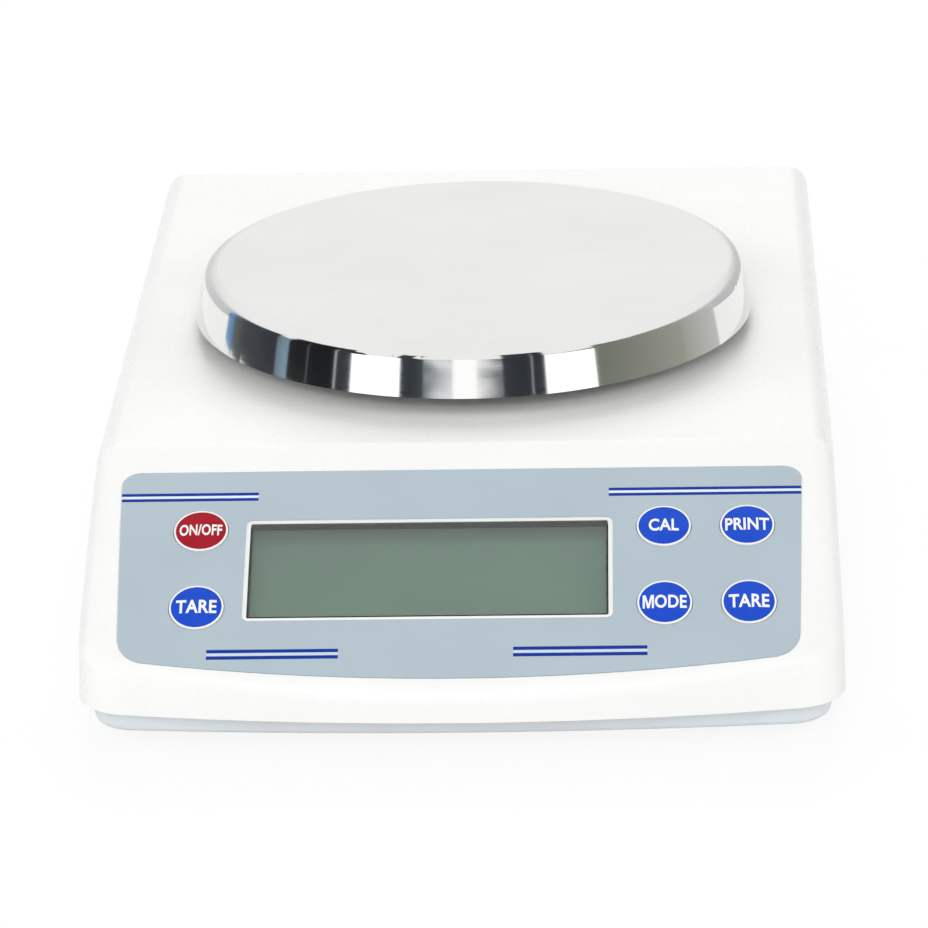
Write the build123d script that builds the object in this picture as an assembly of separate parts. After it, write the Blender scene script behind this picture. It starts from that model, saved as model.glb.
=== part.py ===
from build123d import *
import os
from math import cos, radians, sin, sqrt, tan

# Top-loading electronic balance. X points right, Y points to the rear, Z points up.
# The origin lies on the table under the middle of the housing. Sizes are in millimetres and degrees.

# Housing
body_width = 203.0  # at the cover's lower edge
body_depth = 332.0  # from the middle of the bowed front to the rear wall
foot_height = 5.0  # space under the base tray
strip_height = 7.0  # the stretch of the base tray that shows below the cover
cover_height = 49.0  # from the cover's lower edge to the deck
wall = 2.5  # moulded wall of the cover
draft = 1.6  # mould draft of the side walls
shoulder_radius = 6.0  # rounding all round the deck and the sloped panel
fold_radius = 3.0  # rounding where the deck turns down into the panel
front_corner = 15.0  # plan corners
rear_corner = 7.0
bow_radius = 520.0  # the front edge bows forward in plan
fold_reach = 79.1  # from the front edge back to the fold
fascia_slope = 20.2  # slope of the panel at the fold, which then steepens
fascia_radius = 362.0  # the panel is part of this large cylinder
tray_wall = 2.2
tray_floor = 2.5
tray_flare = 12.0  # the strip leans in towards its lower edge
tray_edge = 2.0  # rounding of the tray's lower edge
tray_bow_radius = 1000.0  # the tray's front is flatter than the cover's
tray_recess = 4.5  # and stands this far behind it in the middle
ledge_height = 2.0  # the cover's ledge above that recess
tongue_height = 5.0  # the tray's rim stands up inside the cover
fit_gap = 0.25  # between moulded parts that fit together
screw_gap = 0.3  # round the shank of a screw that passes through a piece
head_gap = 0.4  # round a screw's head in its recess
touch_gap = 0.05  # between a pin or screw and its hole
socket_gap = 0.3  # round the sockets in the rear wall
fine_edge = 0.5  # eased edges of turned and moulded pieces
block_edge = 1.0  # eased edges of the machined and cast pieces
board_corner = 2.0

# Weighing pan and what carries it
pan_radius = 80.0
pan_from_fold = 102.3  # fold to pan centre
pan_gap = 4.5  # deck to the pan's rim
pan_height = 14.1
pan_sheet = 0.8
pan_flare = 12.0  # the skirt widens downwards
pan_edge = 4.5  # pressed rounding between top and skirt
pan_hem = 0.75  # radius of the rolled rim
skirt_bow = 0.12  # the pressed skirt bulges this much
collar_radius = 17.0  # opening in the deck
collar_wall = 2.5
collar_height = 2.5
cell_length = 130.0
cell_width = 30.0
cell_height = 22.0
cell_bore = 7.0  # radius of the two joined bores that leave thin hinges
cell_bore_spread = 28.0
cell_slot = 4.0
cell_end = 30.0  # clamped length at each end
cell_edge = 0.6
cell_room = 3.0  # bare floor round the load cell
thread_room = 12.0  # depth of the tapped holes
screw_inset = 8.0  # clamping screws in from the ends of the clamped length
mount_height = 8.0
spacer_height = 6.0
plate_height = 5.0
plate_radius = 20.0
plate_corner = 4.0
plate_slot = (20.0, 12.0)  # length and width of the lightening slot
plate_slot_gap = 6.0  # slot's middle to the plate's round end
post_radius = 11.0
post_flange = 17.0
post_flange_height = 3.0
post_fillet = 2.0
support_gap = 6.0  # deck to the underside of the pan support
support_hub = 22.0
support_height = 5.0
arm_reach = 62.0
arm_width = 14.0
arm_tip = 10.0
arm_height = 3.5
arm_turn = 45.0
web_reach = 48.0  # stiffening web under an arm
web_sheet = 2.5
hub_hole = 3.2
hub_hole_place = 14.5
cushion_radius = 6.0
cushion_taper = 0.8
cushion_place = 55.0  # distance of the cushions from the pan's centre
pip_radius = 2.4
big_screw = 2.5  # shank radius of the screws that hold the load cell
big_head = 4.25
big_head_height = 4.0
sunk_head = 4.9  # countersunk heads under the tray
sunk_head_height = 2.2
sunk_depth = 0.2
sunk_socket = 1.7
sunk_socket_depth = 1.4
thread_length = 11.0  # how far the screws reach into the load cell
centre_screw = 3.0
centre_head = 5.2
centre_head_height = 3.0
centre_tip = 0.5  # the screw ends this far inside the carrier plate
head_round = 0.18  # rounding and socket of a cap screw, as shares of its head
head_socket = 0.5
spigot_radius = 6.0
spigot_height = 1.4
stop_gap = 0.5  # free travel before the overload stop
stop_radius = 4.0
stop_pin = 2.4
stop_pin_start = 0.3  # above the tray's underside

# Panel, display and keys. A place on the panel is its arc length from the fold
overlay_sheet = 0.4
overlay_proud = 0.15  # the overlay stands this far out of its recess
overlay_top_half = 91.6
overlay_low_half = 89.5
overlay_top = 11.3
overlay_low = 84.2
overlay_shift = -0.4
overlay_bow = 600.0
overlay_top_corner = 5.0
overlay_low_corner = 8.0
window_width = 95.6
window_height = 33.1
window_corner = 0.6
window_rim = 1.15  # rim of the cover that shows round the window
window_x = -8.65
window_place = 47.5
lens_sheet = 1.2
lens_depth = 0.1  # below the panel's surface
gasket_wall = 0.5  # foam frame between the window and the glass
glass_sheet = 2.8
glass_margin = 3.5  # glass beyond the window above and below, for its contact ledges
glass_side = 2.0  # glass beyond the window left and right
glass_gap = 0.2  # between the glass and its holder
holder_wall = 2.0
reflector_sheet = 0.4
reflector_gap = 1.2
strip_width = 2.0  # conductive rubber strips between glass and board
strip_gap = 0.3
strip_end = 3.0
board_sheet = 1.6
board_depth = 9.0
board_width = 176.0
board_height = 56.0
board_post = 3.0
board_post_inset = 4.0
board_screw = 0.9
board_screw_length = 5.5
board_head = 2.3
board_head_height = 1.6
board_hole = 1.3
key_radius = 7.25
key_crown = 0.45
key_gap = 0.2
key_hole_gap = 0.3  # round a key in the cover
key_proud = 0.2  # the rim of a key above the overlay
key_travel = 0.5
key_flange = 8.6
key_flange_sheet = 0.8
stem_radius = 2.2
stem_reach = 5.3
stem_gap = 0.35
stem_room = 0.7  # below the stem at the end of its travel
switch_size = 6.2
switch_height = 4.1
key_rows = {"upper": 33.8, "lower": 60.6}
key_columns = {"left": -69.7, "middle": 53.95, "right": 76.15}

# Electronics, sockets and the level
main_width = 124.0
main_share = 0.64  # share of the room behind the load cell that the board takes
main_height = 10.5  # board above the tray's floor
main_post_inset = 5.0
header_width = 4.5
header_height = 6.0
ribbon_header = 16.0
lead_header = 8.0
lead_header_height = 5.0
header_inset = 3.0  # headers' middle behind the board's front edge
chips = {  # width, depth, height, and place from the middle of the board
    "processor": (12.0, 12.0, 1.6, -42.0, 4.0),
    "memory": (8.0, 5.0, 1.5, 12.0, -4.0),
    "crystal": (10.5, 4.0, 3.5, 44.0, -8.0),
}
capacitors = {  # radius, height, and place from the middle of the board
    "supply": (4.0, 9.0, 46.0, 6.0),
    "smoothing": (3.2, 7.0, 55.0, 6.0),
    "port": (3.2, 7.0, -55.0, -6.0),
}
capacitor_edge = 0.6
shield_width = 30.0
shield_depth = 22.0
shield_height = 6.0
shield_sheet = 0.5
shield_edge = 0.8
shield_x = -16.0
shield_shift = -2.0
niche_width = 100.0  # recess in the rear wall for the sockets
niche_height = 20.5
niche_low = 16.5
niche_depth = 9.0
jack_x = 30.0
jack_width = 9.0
jack_length = 14.0
jack_height = 11.0
jack_bore = 3.15
jack_pin = 1.05
jack_pin_length = 9.5
jack_edge = 2.0
port_x = -18.0
port_width = 16.9
port_height = 8.4
port_reach = 5.8
port_slant = 10.0
port_flange_width = 30.8
port_flange_height = 12.5
port_sheet = 0.8
port_corner = 1.6
port_flange_corner = 1.5
port_flange_hole = 1.55
port_block = 1.0  # the insulator's rear block is this much larger all round
port_block_depth = 6.0
port_recess = 0.3  # the insulator's face inside the shell
port_clearance = 0.1  # above the main board
leg_width = 0.6
leg_rows = (1.0, 2.6)  # extra reach of the upper and the lower row of legs
jackscrew_spacing = 24.99
jackscrew_hole = 1.2
jackscrew_flat = 4.8
jackscrew_height = 5.0
jackscrew_shank = 1.5
jackscrew_tail = 2.0  # behind the flange
jackscrew_wall_hole = 1.6
contact_pitch = 2.77
contact_row = 2.84
contact_radius = 0.6
contact_depth = 4.0
jack_axis = 6.5  # height of the jack's axis above the board
ribbon_x = -44.0
ribbon_width = 12.0
ribbon_sheet = 0.8
ribbon_start = -8.0  # place on the back of the display board
ribbon_bend = 2.0
lead_x = 30.0
lead_radius = 1.6
lead_from_end = 14.0  # lead's place on the load cell
lead_bend = 3.0
lead_end_gap = 0.45  # from the slanting end to its header
level_from_back = 36.0
level_radius = 9.3
level_height = 9.0
level_lens = 1.0
level_wall = 1.2
level_lens_edge = 0.4
lens_seat = 0.2  # the level's lens starts this far below the deck
liquid_gap = 0.02
bubble_radius = 6.0  # of the ball that shapes the bubble
bubble_lift = 4.4
pocket_wall = 2.0  # moulded pocket round the level
bezel_wall = 1.0
bezel_flange = 13.0
bezel_height = 0.9
bezel_start = 2.0  # above the underside of the level

# Feet
foot_margin = 23.5  # foot centres in from the sides
foot_inset = 37.0  # foot centres in from the front and the rear
wheel_radius = 12.5
wheel_height = 5.0
wheel_low = 1.2
wheel_grips = 16
grip_radius = 1.4
grip_offset = 0.49  # grips' centres outside the wheel
wheel_edge = 0.7
pad_radius = 9.0
pad_height = 3.0
pad_gap = 0.3
stud_radius = 3.0
stud_top = 20.0
insert_radius = 4.5
insert_length = 7.0
insert_wall = 2.5
insert_fit = 0.02
recess_radius = 14.5
recess_depth = 5.3

# Screws and bosses of the housing
cover_post_margin = 13.5  # cover posts in from the sides
cover_post_front = 72.0  # first pair of posts behind the front
cover_post_back = 18.0  # last pair before the rear wall
cover_post_middle = 30.0
cover_post_radius = 4.5
cover_post_seat = 16.0  # height at which cover posts stand on tray posts
cover_post_hole = 12.0
gusset_start = 6.0  # above the seat
small_screw = 1.25
small_head = 2.9
small_head_height = 2.0
small_reach = 9.0  # of the screws into the cover's posts
head_sink = 0.5  # of small heads below the tray's underside
rib_sheet = 1.8
rib_height = 5.0
rib_margin = 10.0
rib_columns = (0.36, 0.71)  # long ribs, as shares of half the width
cross_rib_places = (32.0, 149.0, 187.0)  # cross ribs behind the fold
ring_reach = 7.0  # from the deck's opening out to the ring rib
floor_rib_height = 2.5
floor_rib_x = 34.0
floor_rib_margin = 20.0
floor_rib_places = (91.0, 168.0, 260.0)  # cross ribs behind the front
post_wall = 2.2  # round the recesses of the feet

# Levels and places that follow
cover_bottom = foot_height + strip_height
deck = cover_bottom + cover_height
ceiling = deck - wall
floor = foot_height + tray_floor
front = -body_depth / 2
back = body_depth / 2
fold_y = front + fold_reach
cover_post_x = body_width / 2 - cover_post_margin
cover_post_places = (front + cover_post_front, cover_post_middle, back - cover_post_back)
foot_x = body_width / 2 - foot_margin
level_y = back - level_from_back
arc_y = fold_y + fascia_radius * sin(radians(fascia_slope))
arc_z = deck - fascia_radius * cos(radians(fascia_slope))
pan_y = fold_y + pan_from_fold
rim_z = deck + pan_gap
pan_top = rim_z + pan_height
support_low = deck + support_gap
support_top = support_low + support_height
cell_low = floor + mount_height
cell_top = cell_low + cell_height
plate_low = cell_top + spacer_height
plate_top = plate_low + plate_height
cell_front = pan_y - cell_length / 2
cell_back = pan_y + cell_length / 2
main_z = floor + main_height
niche_y = back - niche_depth
niche_wall_y = niche_y - wall
main_back = niche_wall_y - port_sheet - fit_gap
main_depth = main_share * (main_back - cell_back)
tray_inset = wall + fit_gap
board_top = main_z + board_sheet
jack_z = board_top + jack_axis
port_z = board_top + port_height / 2 + port_block + port_clearance
block_back = niche_wall_y - port_block_depth
header_y = main_back - main_depth + header_inset
main_y = main_back - main_depth / 2
port_face_y = niche_y + port_reach - wall
glass_width = window_width + 2 * glass_side
glass_height = window_height + 2 * glass_margin
holder_half = glass_height / 2 + holder_wall
holder_top = fascia_radius - sqrt((fascia_radius - wall) ** 2 - holder_half**2) + 0.1
glass_depth = holder_top
lens_back = lens_depth + lens_sheet
glass_back = glass_depth + glass_sheet
reflector_back = glass_back + reflector_sheet
level_low = deck - level_height
lens_low = deck - lens_seat
pocket_radius = level_radius + bezel_wall + fit_gap
insert_top = stud_top - fine_edge
fixed_screw_places = (cell_back - cell_end + screw_inset, cell_back - screw_inset)
free_screw_places = (cell_front + screw_inset, cell_front + cell_end - screw_inset)
stop_y = cell_front + cell_end / 2
low_align = (Align.CENTER, Align.CENTER, Align.MIN)
foot_places = {
    "front_left": (-foot_x, front + foot_inset),
    "front_right": (foot_x, front + foot_inset),
    "rear_left": (-foot_x, back - foot_inset),
    "rear_right": (foot_x, back - foot_inset),
}
cover_posts = [(side * cover_post_x, y) for side in (-1, 1) for y in cover_post_places]
board_post_x = board_width / 2 - board_post_inset
board_post_v = board_height / 2 - board_post_inset
board_posts = [(side * board_post_x, v * board_post_v) for side in (-1, 1) for v in (-1, 1)]
main_post_x = main_width / 2 - main_post_inset
main_post_places = (main_back - main_post_inset, main_back - main_depth + main_post_inset)
main_posts = [(side * main_post_x, y) for side in (-1, 1) for y in main_post_places]
keys = {
    "key_on_off": ("left", "upper"),
    "key_tare_left": ("left", "lower"),
    "key_cal": ("middle", "upper"),
    "key_print": ("right", "upper"),
    "key_mode": ("middle", "lower"),
    "key_tare_right": ("right", "lower"),
}


def rod(radius, low, high, x=0.0, y=0.0):
    """An upright cylinder between two heights."""
    return Pos(x, y, low) * Cylinder(radius, high - low, align=low_align)


def slab(width, depth, low, high, x=0.0, y=0.0):
    """An upright block between two heights, centred on x and y."""
    return Pos(x, y, low) * Box(width, depth, high - low, align=low_align)


def fused(shapes):
    """The union of a list of shapes."""
    shapes = list(shapes)
    return shapes[0].fuse(*shapes[1:]) if len(shapes) > 1 else shapes[0]


def group(shapes):
    """Separate solids that share one node."""
    return Compound(children=[solid for shape in shapes for solid in shape.solids()])


def panel_plane(x, place, lift=0.0):
    """The plane that touches the panel at an arc length from the fold, with its normal outwards."""
    tilt = radians(fascia_slope) + place / fascia_radius
    reach = fascia_radius + lift
    origin = (x, arc_y - reach * sin(tilt), arc_z + reach * cos(tilt))
    return Plane(origin=origin, x_dir=(1, 0, 0), z_dir=(0, -sin(tilt), cos(tilt)))


display = panel_plane(0, window_place)
window_at = Pos(window_x, 0, 0)


def up_slope(place):
    """How far up the display plane a place on the panel lies."""
    return fascia_radius * sin((window_place - place) / fascia_radius)


def plan_outline(inset, radius=bow_radius, recess=0.0):
    """The housing seen from above: straight sides and rear, and a front that bows forward."""
    half = body_width / 2 - inset
    bow = radius - inset
    low = front + inset + recess
    corner_y = low + bow - sqrt(bow**2 - half**2)
    sides = Polyline((half, corner_y), (half, back - inset), (-half, back - inset), (-half, corner_y))
    outline = make_face(sides.edges() + [ThreePointArc((-half, corner_y), (0, low), (half, corner_y))])
    corners = outline.vertices().group_by(Axis.Y)
    outline = fillet(corners[-1], rear_corner - inset)
    lower = outline.vertices().sort_by(Axis.Y).filter_by(lambda v: abs(v.X) > half - 1)[:2]
    return fillet(lower, front_corner - inset)


def tray_outline(inset):
    """The tray seen from above: as the cover, but with a flatter front that stands back in the middle."""
    return plan_outline(inset, tray_bow_radius, tray_recess)


def side_profile(inset):
    """The housing seen from the side: deck, fold and the arc of the sloped panel."""
    radius = fascia_radius - inset
    level = deck - inset
    turn = arc_y - sqrt(radius**2 - (level - arc_z) ** 2)
    nose = front - 20
    nose_z = arc_z + sqrt(radius**2 - (nose - arc_y) ** 2)
    middle = (turn + nose) / 2
    middle_z = arc_z + sqrt(radius**2 - (middle - arc_y) ** 2)
    arc = ThreePointArc((turn, level), (middle, middle_z), (nose, nose_z))
    rest = Polyline((nose, nose_z), (nose, -10), (back + 20, -10), (back + 20, level), (turn, level))
    return Plane.YZ * make_face([arc] + rest.edges())


def free_outline(faces):
    """The edges round a patch of faces, without those between two of its faces."""
    edges = [edge for face in faces for edge in face.edges()]
    return [e for e in edges if sum((e.center() - other.center()).length < 0.001 for other in edges) == 1]


def housing_form(inset):
    """The cover's solid form, or the form inside a wall of that thickness."""
    block = extrude(Pos(0, 0, cover_bottom) * plan_outline(inset), amount=cover_height + 5, taper=draft)
    form = block & extrude(side_profile(inset), amount=body_width, both=True)
    fold = Vector(0, fold_y, deck - inset)
    edge = min(form.edges().filter_by(Axis.X), key=lambda e: (e.center() - fold).length)
    form = fillet([edge], fold_radius)
    tops = [face for face in form.faces() if face.normal_at().Z > 0.5]
    return fillet(free_outline(tops), shoulder_radius - inset)


def overlay_outline(grow=0.0):
    """The overlay's outline on the display plane: sides that close in downwards and a bowed lower edge."""
    top, low = up_slope(overlay_top), up_slope(overlay_low)
    drop = overlay_bow - sqrt(overlay_bow**2 - overlay_low_half**2)
    left, right = overlay_shift - overlay_low_half, overlay_shift + overlay_low_half
    arc = ThreePointArc((left, low + drop), (overlay_shift, low), (right, low + drop))
    upper_left = (overlay_shift - overlay_top_half, top)
    upper_right = (overlay_shift + overlay_top_half, top)
    rest = Polyline((right, low + drop), upper_right, upper_left, (left, low + drop))
    outline = make_face([arc] + rest.edges())
    outline = fillet(outline.vertices().group_by(Axis.Y)[-1], overlay_top_corner)
    lower = [v for v in outline.vertices() if abs(v.Y - low - drop) < 0.01]
    outline = fillet(lower, overlay_low_corner)
    return offset(outline, grow) if grow else outline


def panel_band(low, high):
    """A band of the panel's cylinder between two heights above its surface."""
    outer = Pos(0, arc_y, arc_z) * Rot(0, 90, 0) * Cylinder(fascia_radius + high, body_width)
    inner = Pos(0, arc_y, arc_z) * Rot(0, 90, 0) * Cylinder(fascia_radius + low, body_width + 10)
    return outer - inner


def panel_sheet(outline, low, high):
    """A curved sheet that lies on the panel and has the given outline on the display plane."""
    return extrude(display * outline, amount=12, both=True) & panel_band(low, high)


def key_plane(name):
    """The plane of a key on the panel's surface."""
    column, row = keys[name]
    return panel_plane(key_columns[column], key_rows[row])


def on_plane(plane, shape):
    """A shape built about the origin, carried to a plane."""
    return plane.location * shape


def make_overlay():
    """Printed overlay sheet with cut-outs for the window and the keys."""
    bottom = overlay_proud - overlay_sheet
    sheet = panel_sheet(overlay_outline(), bottom, overlay_proud)
    sheet -= extrude(display * (window_at * window_outline(window_rim)), amount=6, both=True)
    holes = [on_plane(key_plane(name), Cylinder(key_radius + key_gap, 6)) for name in keys]
    return sheet - fused(holes)


def deck_ribs():
    """Stiffening ribs under the deck: two long ones each side, three across and a ring round the opening."""
    low = ceiling - rib_height
    columns = [side * share * body_width / 2 for side in (-1, 1) for share in rib_columns]
    length = back - fold_y - 2 * rib_margin
    width = body_width - 2 * rib_margin
    long_ribs = [slab(rib_sheet, length, low, deck, x, (back + fold_y) / 2) for x in columns]
    cross_ribs = [slab(width, rib_sheet, low, deck, 0, fold_y + y) for y in cross_rib_places]
    ring = rod(collar_radius + ring_reach + rib_sheet, low, deck, 0, pan_y)
    ribs = fused(long_ribs + cross_ribs + [ring])
    return ribs - rod(collar_radius + ring_reach, low - 1, deck + 1, 0, pan_y)


def make_cover():
    """Moulded cover: bowed shell with its panel, window, key holes, collar, niche, posts and ribs."""
    outer = housing_form(0)
    inside = housing_form(wall)
    shell = outer - inside - extrude(Pos(0, 0, cover_bottom) * plan_outline(wall), amount=-1)

    # What stands inside reaches half way into the wall
    posts = [rod(cover_post_radius, cover_post_seat, deck, x, y) for x, y in cover_posts]
    gusset_x = (body_width / 2 + cover_post_x) / 2
    gussets = [
        slab(cover_post_margin, rib_sheet, cover_post_seat + gusset_start, deck, side * gusset_x, y)
        for side in (-1, 1)
        for y in cover_post_places
    ]
    stand_offs = [
        on_plane(display, Pos(x, v, -board_depth) * Cylinder(board_post, board_depth + 3, align=low_align))
        for x, v in board_posts
    ]
    pocket = rod(pocket_radius + pocket_wall, level_low, deck, 0, level_y)
    niche_box = Pos(0, back, niche_low - wall) * Box(
        niche_width + 2 * wall, 2 * (niche_depth + wall), niche_height + 2 * wall, align=low_align
    )
    furniture = fused(posts + gussets + stand_offs + [deck_ribs(), pocket, niche_box])
    shell += furniture & housing_form(wall / 2)
    ledge = plan_outline(wall / 2) - tray_outline(tray_inset - fit_gap)
    shell += extrude(Pos(0, 0, cover_bottom) * ledge, amount=ledge_height)
    shell += rod(collar_radius + collar_wall, ceiling, deck + collar_height, 0, pan_y)

    # Openings and recesses
    cuts = [
        rod(collar_radius, ceiling - rib_height - 1, deck + collar_height + 1, 0, pan_y),
        rod(pocket_radius, 0, deck + 1, 0, level_y),
        Pos(0, back, niche_low) * Box(niche_width, 2 * niche_depth, niche_height, align=low_align),
        panel_sheet(overlay_outline(fit_gap), overlay_proud - overlay_sheet, 4),
        extrude(display * (window_at * window_outline()), amount=7, both=True),
        slab(jack_width + 2 * socket_gap, 12, board_top, board_top + jack_height + socket_gap, jack_x, niche_y),
        Pos(port_x, niche_y + 4, port_z) * extrude(Plane.XZ * port_outline(socket_gap), amount=10),
    ]
    cuts += [on_plane(key_plane(name), Cylinder(key_radius + key_hole_gap, 10)) for name in keys]
    post_core, core_top = small_screw + touch_gap, cover_post_seat + cover_post_hole
    cuts += [rod(post_core, cover_post_seat - 1, core_top, x, y) for x, y in cover_posts]
    stand_off_core = Pos(0, 0, -board_depth) * Cylinder(board_screw + touch_gap, 14)
    cuts += [on_plane(display, Pos(x, v, 0) * stand_off_core) for x, v in board_posts]
    wall_hole = Rot(90, 0, 0) * Cylinder(jackscrew_wall_hole, 20)
    cuts += [Pos(port_x + side * jackscrew_spacing / 2, niche_y, port_z) * wall_hole for side in (-1, 1)]
    return shell - fused(cuts)


def port_outline(grow=0.0):
    """D-shaped outline of the serial port's shell, wide side up."""
    low_half = port_width / 2 - port_height * tan(radians(port_slant))
    high_half = port_width / 2
    corners = [(-high_half, port_height / 2), (high_half, port_height / 2), (low_half, -port_height / 2)]
    outline = make_face(Polyline(*corners, (-low_half, -port_height / 2), close=True))
    outline = fillet(outline.vertices(), port_corner)
    return offset(outline, grow) if grow else outline


def make_tray():
    """Base tray: leaning strip, tongue inside the cover, foot recesses, posts and floor ribs."""
    outline = tray_outline(tray_inset)
    strip = extrude(Pos(0, 0, cover_bottom) * outline, amount=-strip_height, taper=tray_flare)
    strip = fillet(strip.edges().group_by(Axis.Z)[0], tray_edge)
    tongue = extrude(Pos(0, 0, cover_bottom) * outline, amount=tongue_height, taper=draft)
    lean = (cover_bottom - floor) * tan(radians(tray_flare))
    hollow = extrude(Pos(0, 0, floor) * tray_outline(tray_inset + tray_wall + lean), amount=30, taper=draft)
    tray = strip + tongue - hollow
    low, high = floor - 1, floor + floor_rib_height
    length, width = body_depth - 2 * floor_rib_margin, body_width - 2 * rib_margin
    long_ribs = [slab(rib_sheet, length, low, high, side * floor_rib_x) for side in (-1, 1)]
    cross_ribs = [slab(width, rib_sheet, low, high, 0, front + y) for y in floor_rib_places]
    gap = slab(cell_width + 2 * cell_room, cell_length + 2 * cell_room, floor, high + 1, 0, pan_y)
    tray += fused(long_ribs + cross_ribs) - gap
    posts = [rod(cover_post_radius, low, cover_post_seat, x, y) for x, y in cover_posts]
    posts += [rod(board_post, low, main_z, x, y) for x, y in main_posts]
    recess_top = foot_height + recess_depth
    for x, y in foot_places.values():
        posts.append(rod(recess_radius + post_wall, low, recess_top + tray_floor, x, y))
        posts.append(rod(insert_radius + insert_wall, low, insert_top, x, y))
    tray += fused(posts) & (strip + tongue + extrude(Pos(0, 0, floor) * outline, amount=30))
    cuts = []
    for x, y in foot_places.values():
        cuts.append(rod(recess_radius, 0, recess_top, x, y))
        cuts.append(rod(insert_radius, insert_top - insert_length, insert_top + 1, x, y))
        cuts.append(rod(stud_radius + head_gap, 0, insert_top, x, y))
    for x, y in cover_posts:
        cuts.append(rod(small_screw + screw_gap, 0, cover_post_seat + 1, x, y))
        cuts.append(rod(small_head + head_gap, 0, foot_height + small_head_height + head_sink, x, y))
    cuts += [rod(board_screw + touch_gap, main_z - board_screw_length, main_z + 1, x, y) for x, y in main_posts]
    sunk = Cone(sunk_head + screw_gap, big_screw + screw_gap, sunk_head_height + screw_gap, align=low_align)
    for y in fixed_screw_places:
        cuts.append(rod(big_screw + screw_gap, 0, floor + 1, 0, y))
        cuts.append(Pos(0, y, foot_height) * sunk)
    cuts.append(rod(stop_pin, 0, floor + 1, 0, stop_y))
    niche_low_side = niche_low - wall - fit_gap
    cuts.append(
        slab(niche_width + 2 * wall + 2, 2 * (niche_depth + wall + 1), niche_low_side, deck, 0, back)
    )
    return tray - fused(cuts)


def make_load_cell():
    """Aluminium beam with two joined cross bores, which leave four thin flexing webs."""
    beam = slab(cell_width, cell_length, cell_low, cell_top, 0, pan_y)
    beam = chamfer(beam.edges().filter_by(Axis.Y), cell_edge)
    middle = (cell_low + cell_top) / 2
    bore = Rot(0, 90, 0) * Cylinder(cell_bore, cell_width + 2)
    bores = [Pos(0, pan_y + side * cell_bore_spread / 2, middle) * bore for side in (-1, 1)]
    slot = Pos(0, pan_y, middle) * Box(cell_width + 2, cell_bore_spread, cell_slot)
    radius = big_screw + touch_gap
    holes = [rod(radius, cell_low - 1, cell_low + thread_room, 0, y) for y in fixed_screw_places]
    holes += [rod(radius, cell_top - thread_room, cell_top + 1, 0, y) for y in free_screw_places]
    return beam - fused(bores + [slot] + holes)


def cap_screw(radius, head_radius, head_height, seat, tip, x, y):
    """Socket-head screw from its seat to its tip. It points down when its tip is below its seat."""
    sign = 1 if seat > tip else -1
    shank = rod(radius, min(seat, tip), max(seat, tip), x, y)
    top = seat + sign * head_height
    head = rod(head_radius, min(seat, top), max(seat, top), x, y)
    rim = head.edges().filter_by(GeomType.CIRCLE).sort_by(Axis.Z)
    head = fillet([rim[-1] if sign > 0 else rim[0]], head_height * head_round)
    socket = RegularPolygon(head_radius * head_socket, 6)
    deep = Pos(x, y, top) * extrude(socket, amount=-sign * head_height * head_socket)
    return shank + head - deep


def make_cell_screws():
    """Countersunk screws from below, through the tray and the mount into the fixed end."""
    screws = []
    for y in fixed_screw_places:
        low = foot_height + sunk_depth
        head = Pos(0, y, low) * Cone(sunk_head, big_screw, sunk_head_height, align=low_align)
        socket = Pos(0, y, low) * extrude(RegularPolygon(sunk_socket, 6), amount=sunk_socket_depth)
        screws.append(head + rod(big_screw, low, cell_low + thread_length, 0, y) - socket)
    return group(screws)


def make_carrier_screws():
    """Socket-head screws through the plate and the spacer into the free end."""
    sizes = (big_screw, big_head, big_head_height, plate_top, cell_top - thread_length)
    return group([cap_screw(*sizes, 0, y) for y in free_screw_places])


def make_support_screw():
    """Long screw that pulls the pan support and the post down onto the carrier plate."""
    seat = support_top - centre_head_height
    return cap_screw(centre_screw, centre_head, centre_head_height, seat, plate_low + centre_tip, 0, pan_y)


def make_mount():
    """Block between the tray's floor and the fixed end of the load cell."""
    y = cell_back - cell_end / 2
    block = slab(cell_width, cell_end, floor, cell_low, 0, y)
    block = chamfer(block.edges().filter_by(Axis.Z), block_edge)
    return block - fused([rod(big_screw + screw_gap, 0, cell_low + 1, 0, hole) for hole in fixed_screw_places])


def make_spacer():
    """Block between the free end of the load cell and the carrier plate."""
    y = cell_front + cell_end / 2
    block = slab(cell_width, cell_end, cell_top, plate_low, 0, y)
    block = chamfer(block.edges().filter_by(Axis.Z), block_edge)
    return block - fused([rod(big_screw + screw_gap, 0, plate_low + 1, 0, hole) for hole in free_screw_places])


def make_plate():
    """Carrier plate that reaches back from the free end to the pan's centre."""
    length = pan_y - cell_front
    outline = Pos(0, cell_front + length / 2) * Rectangle(cell_width, length)
    outline += Pos(0, pan_y) * Circle(plate_radius)
    window = Pos(0, pan_y - plate_radius - plate_slot_gap) * SlotOverall(*plate_slot, rotation=90)
    plate = extrude(Pos(0, 0, plate_low) * (outline - window), amount=plate_height)
    outer = [e for e in plate.edges().filter_by(Axis.Z) if e.center().Y < cell_front + 1]
    plate = fillet(outer, plate_corner)
    holes = [rod(big_screw + screw_gap, 0, plate_top + 1, 0, y) for y in free_screw_places]
    holes.append(rod(centre_screw + touch_gap, 0, plate_top + 1, 0, pan_y))
    return plate - fused(holes)


def make_post():
    """Turned post through the deck's opening, with a foot flange and a spigot for the pan support."""
    section = Polyline(
        (0, plate_top),
        (post_flange, plate_top),
        (post_flange, plate_top + post_flange_height),
        (post_radius, plate_top + post_flange_height),
        (post_radius, support_low),
        (spigot_radius, support_low),
        (spigot_radius, support_low + spigot_height),
        (0, support_low + spigot_height),
        close=True,
    )
    face = make_face(section)
    inner = face.vertices().sort_by_distance((post_radius, plate_top + post_flange_height))[0]
    face = fillet([inner], post_fillet)
    post = Pos(0, pan_y, 0) * revolve(Plane.XZ * face, Axis.Z)
    return post - rod(centre_screw + touch_gap, 0, support_top, 0, pan_y)


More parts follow.
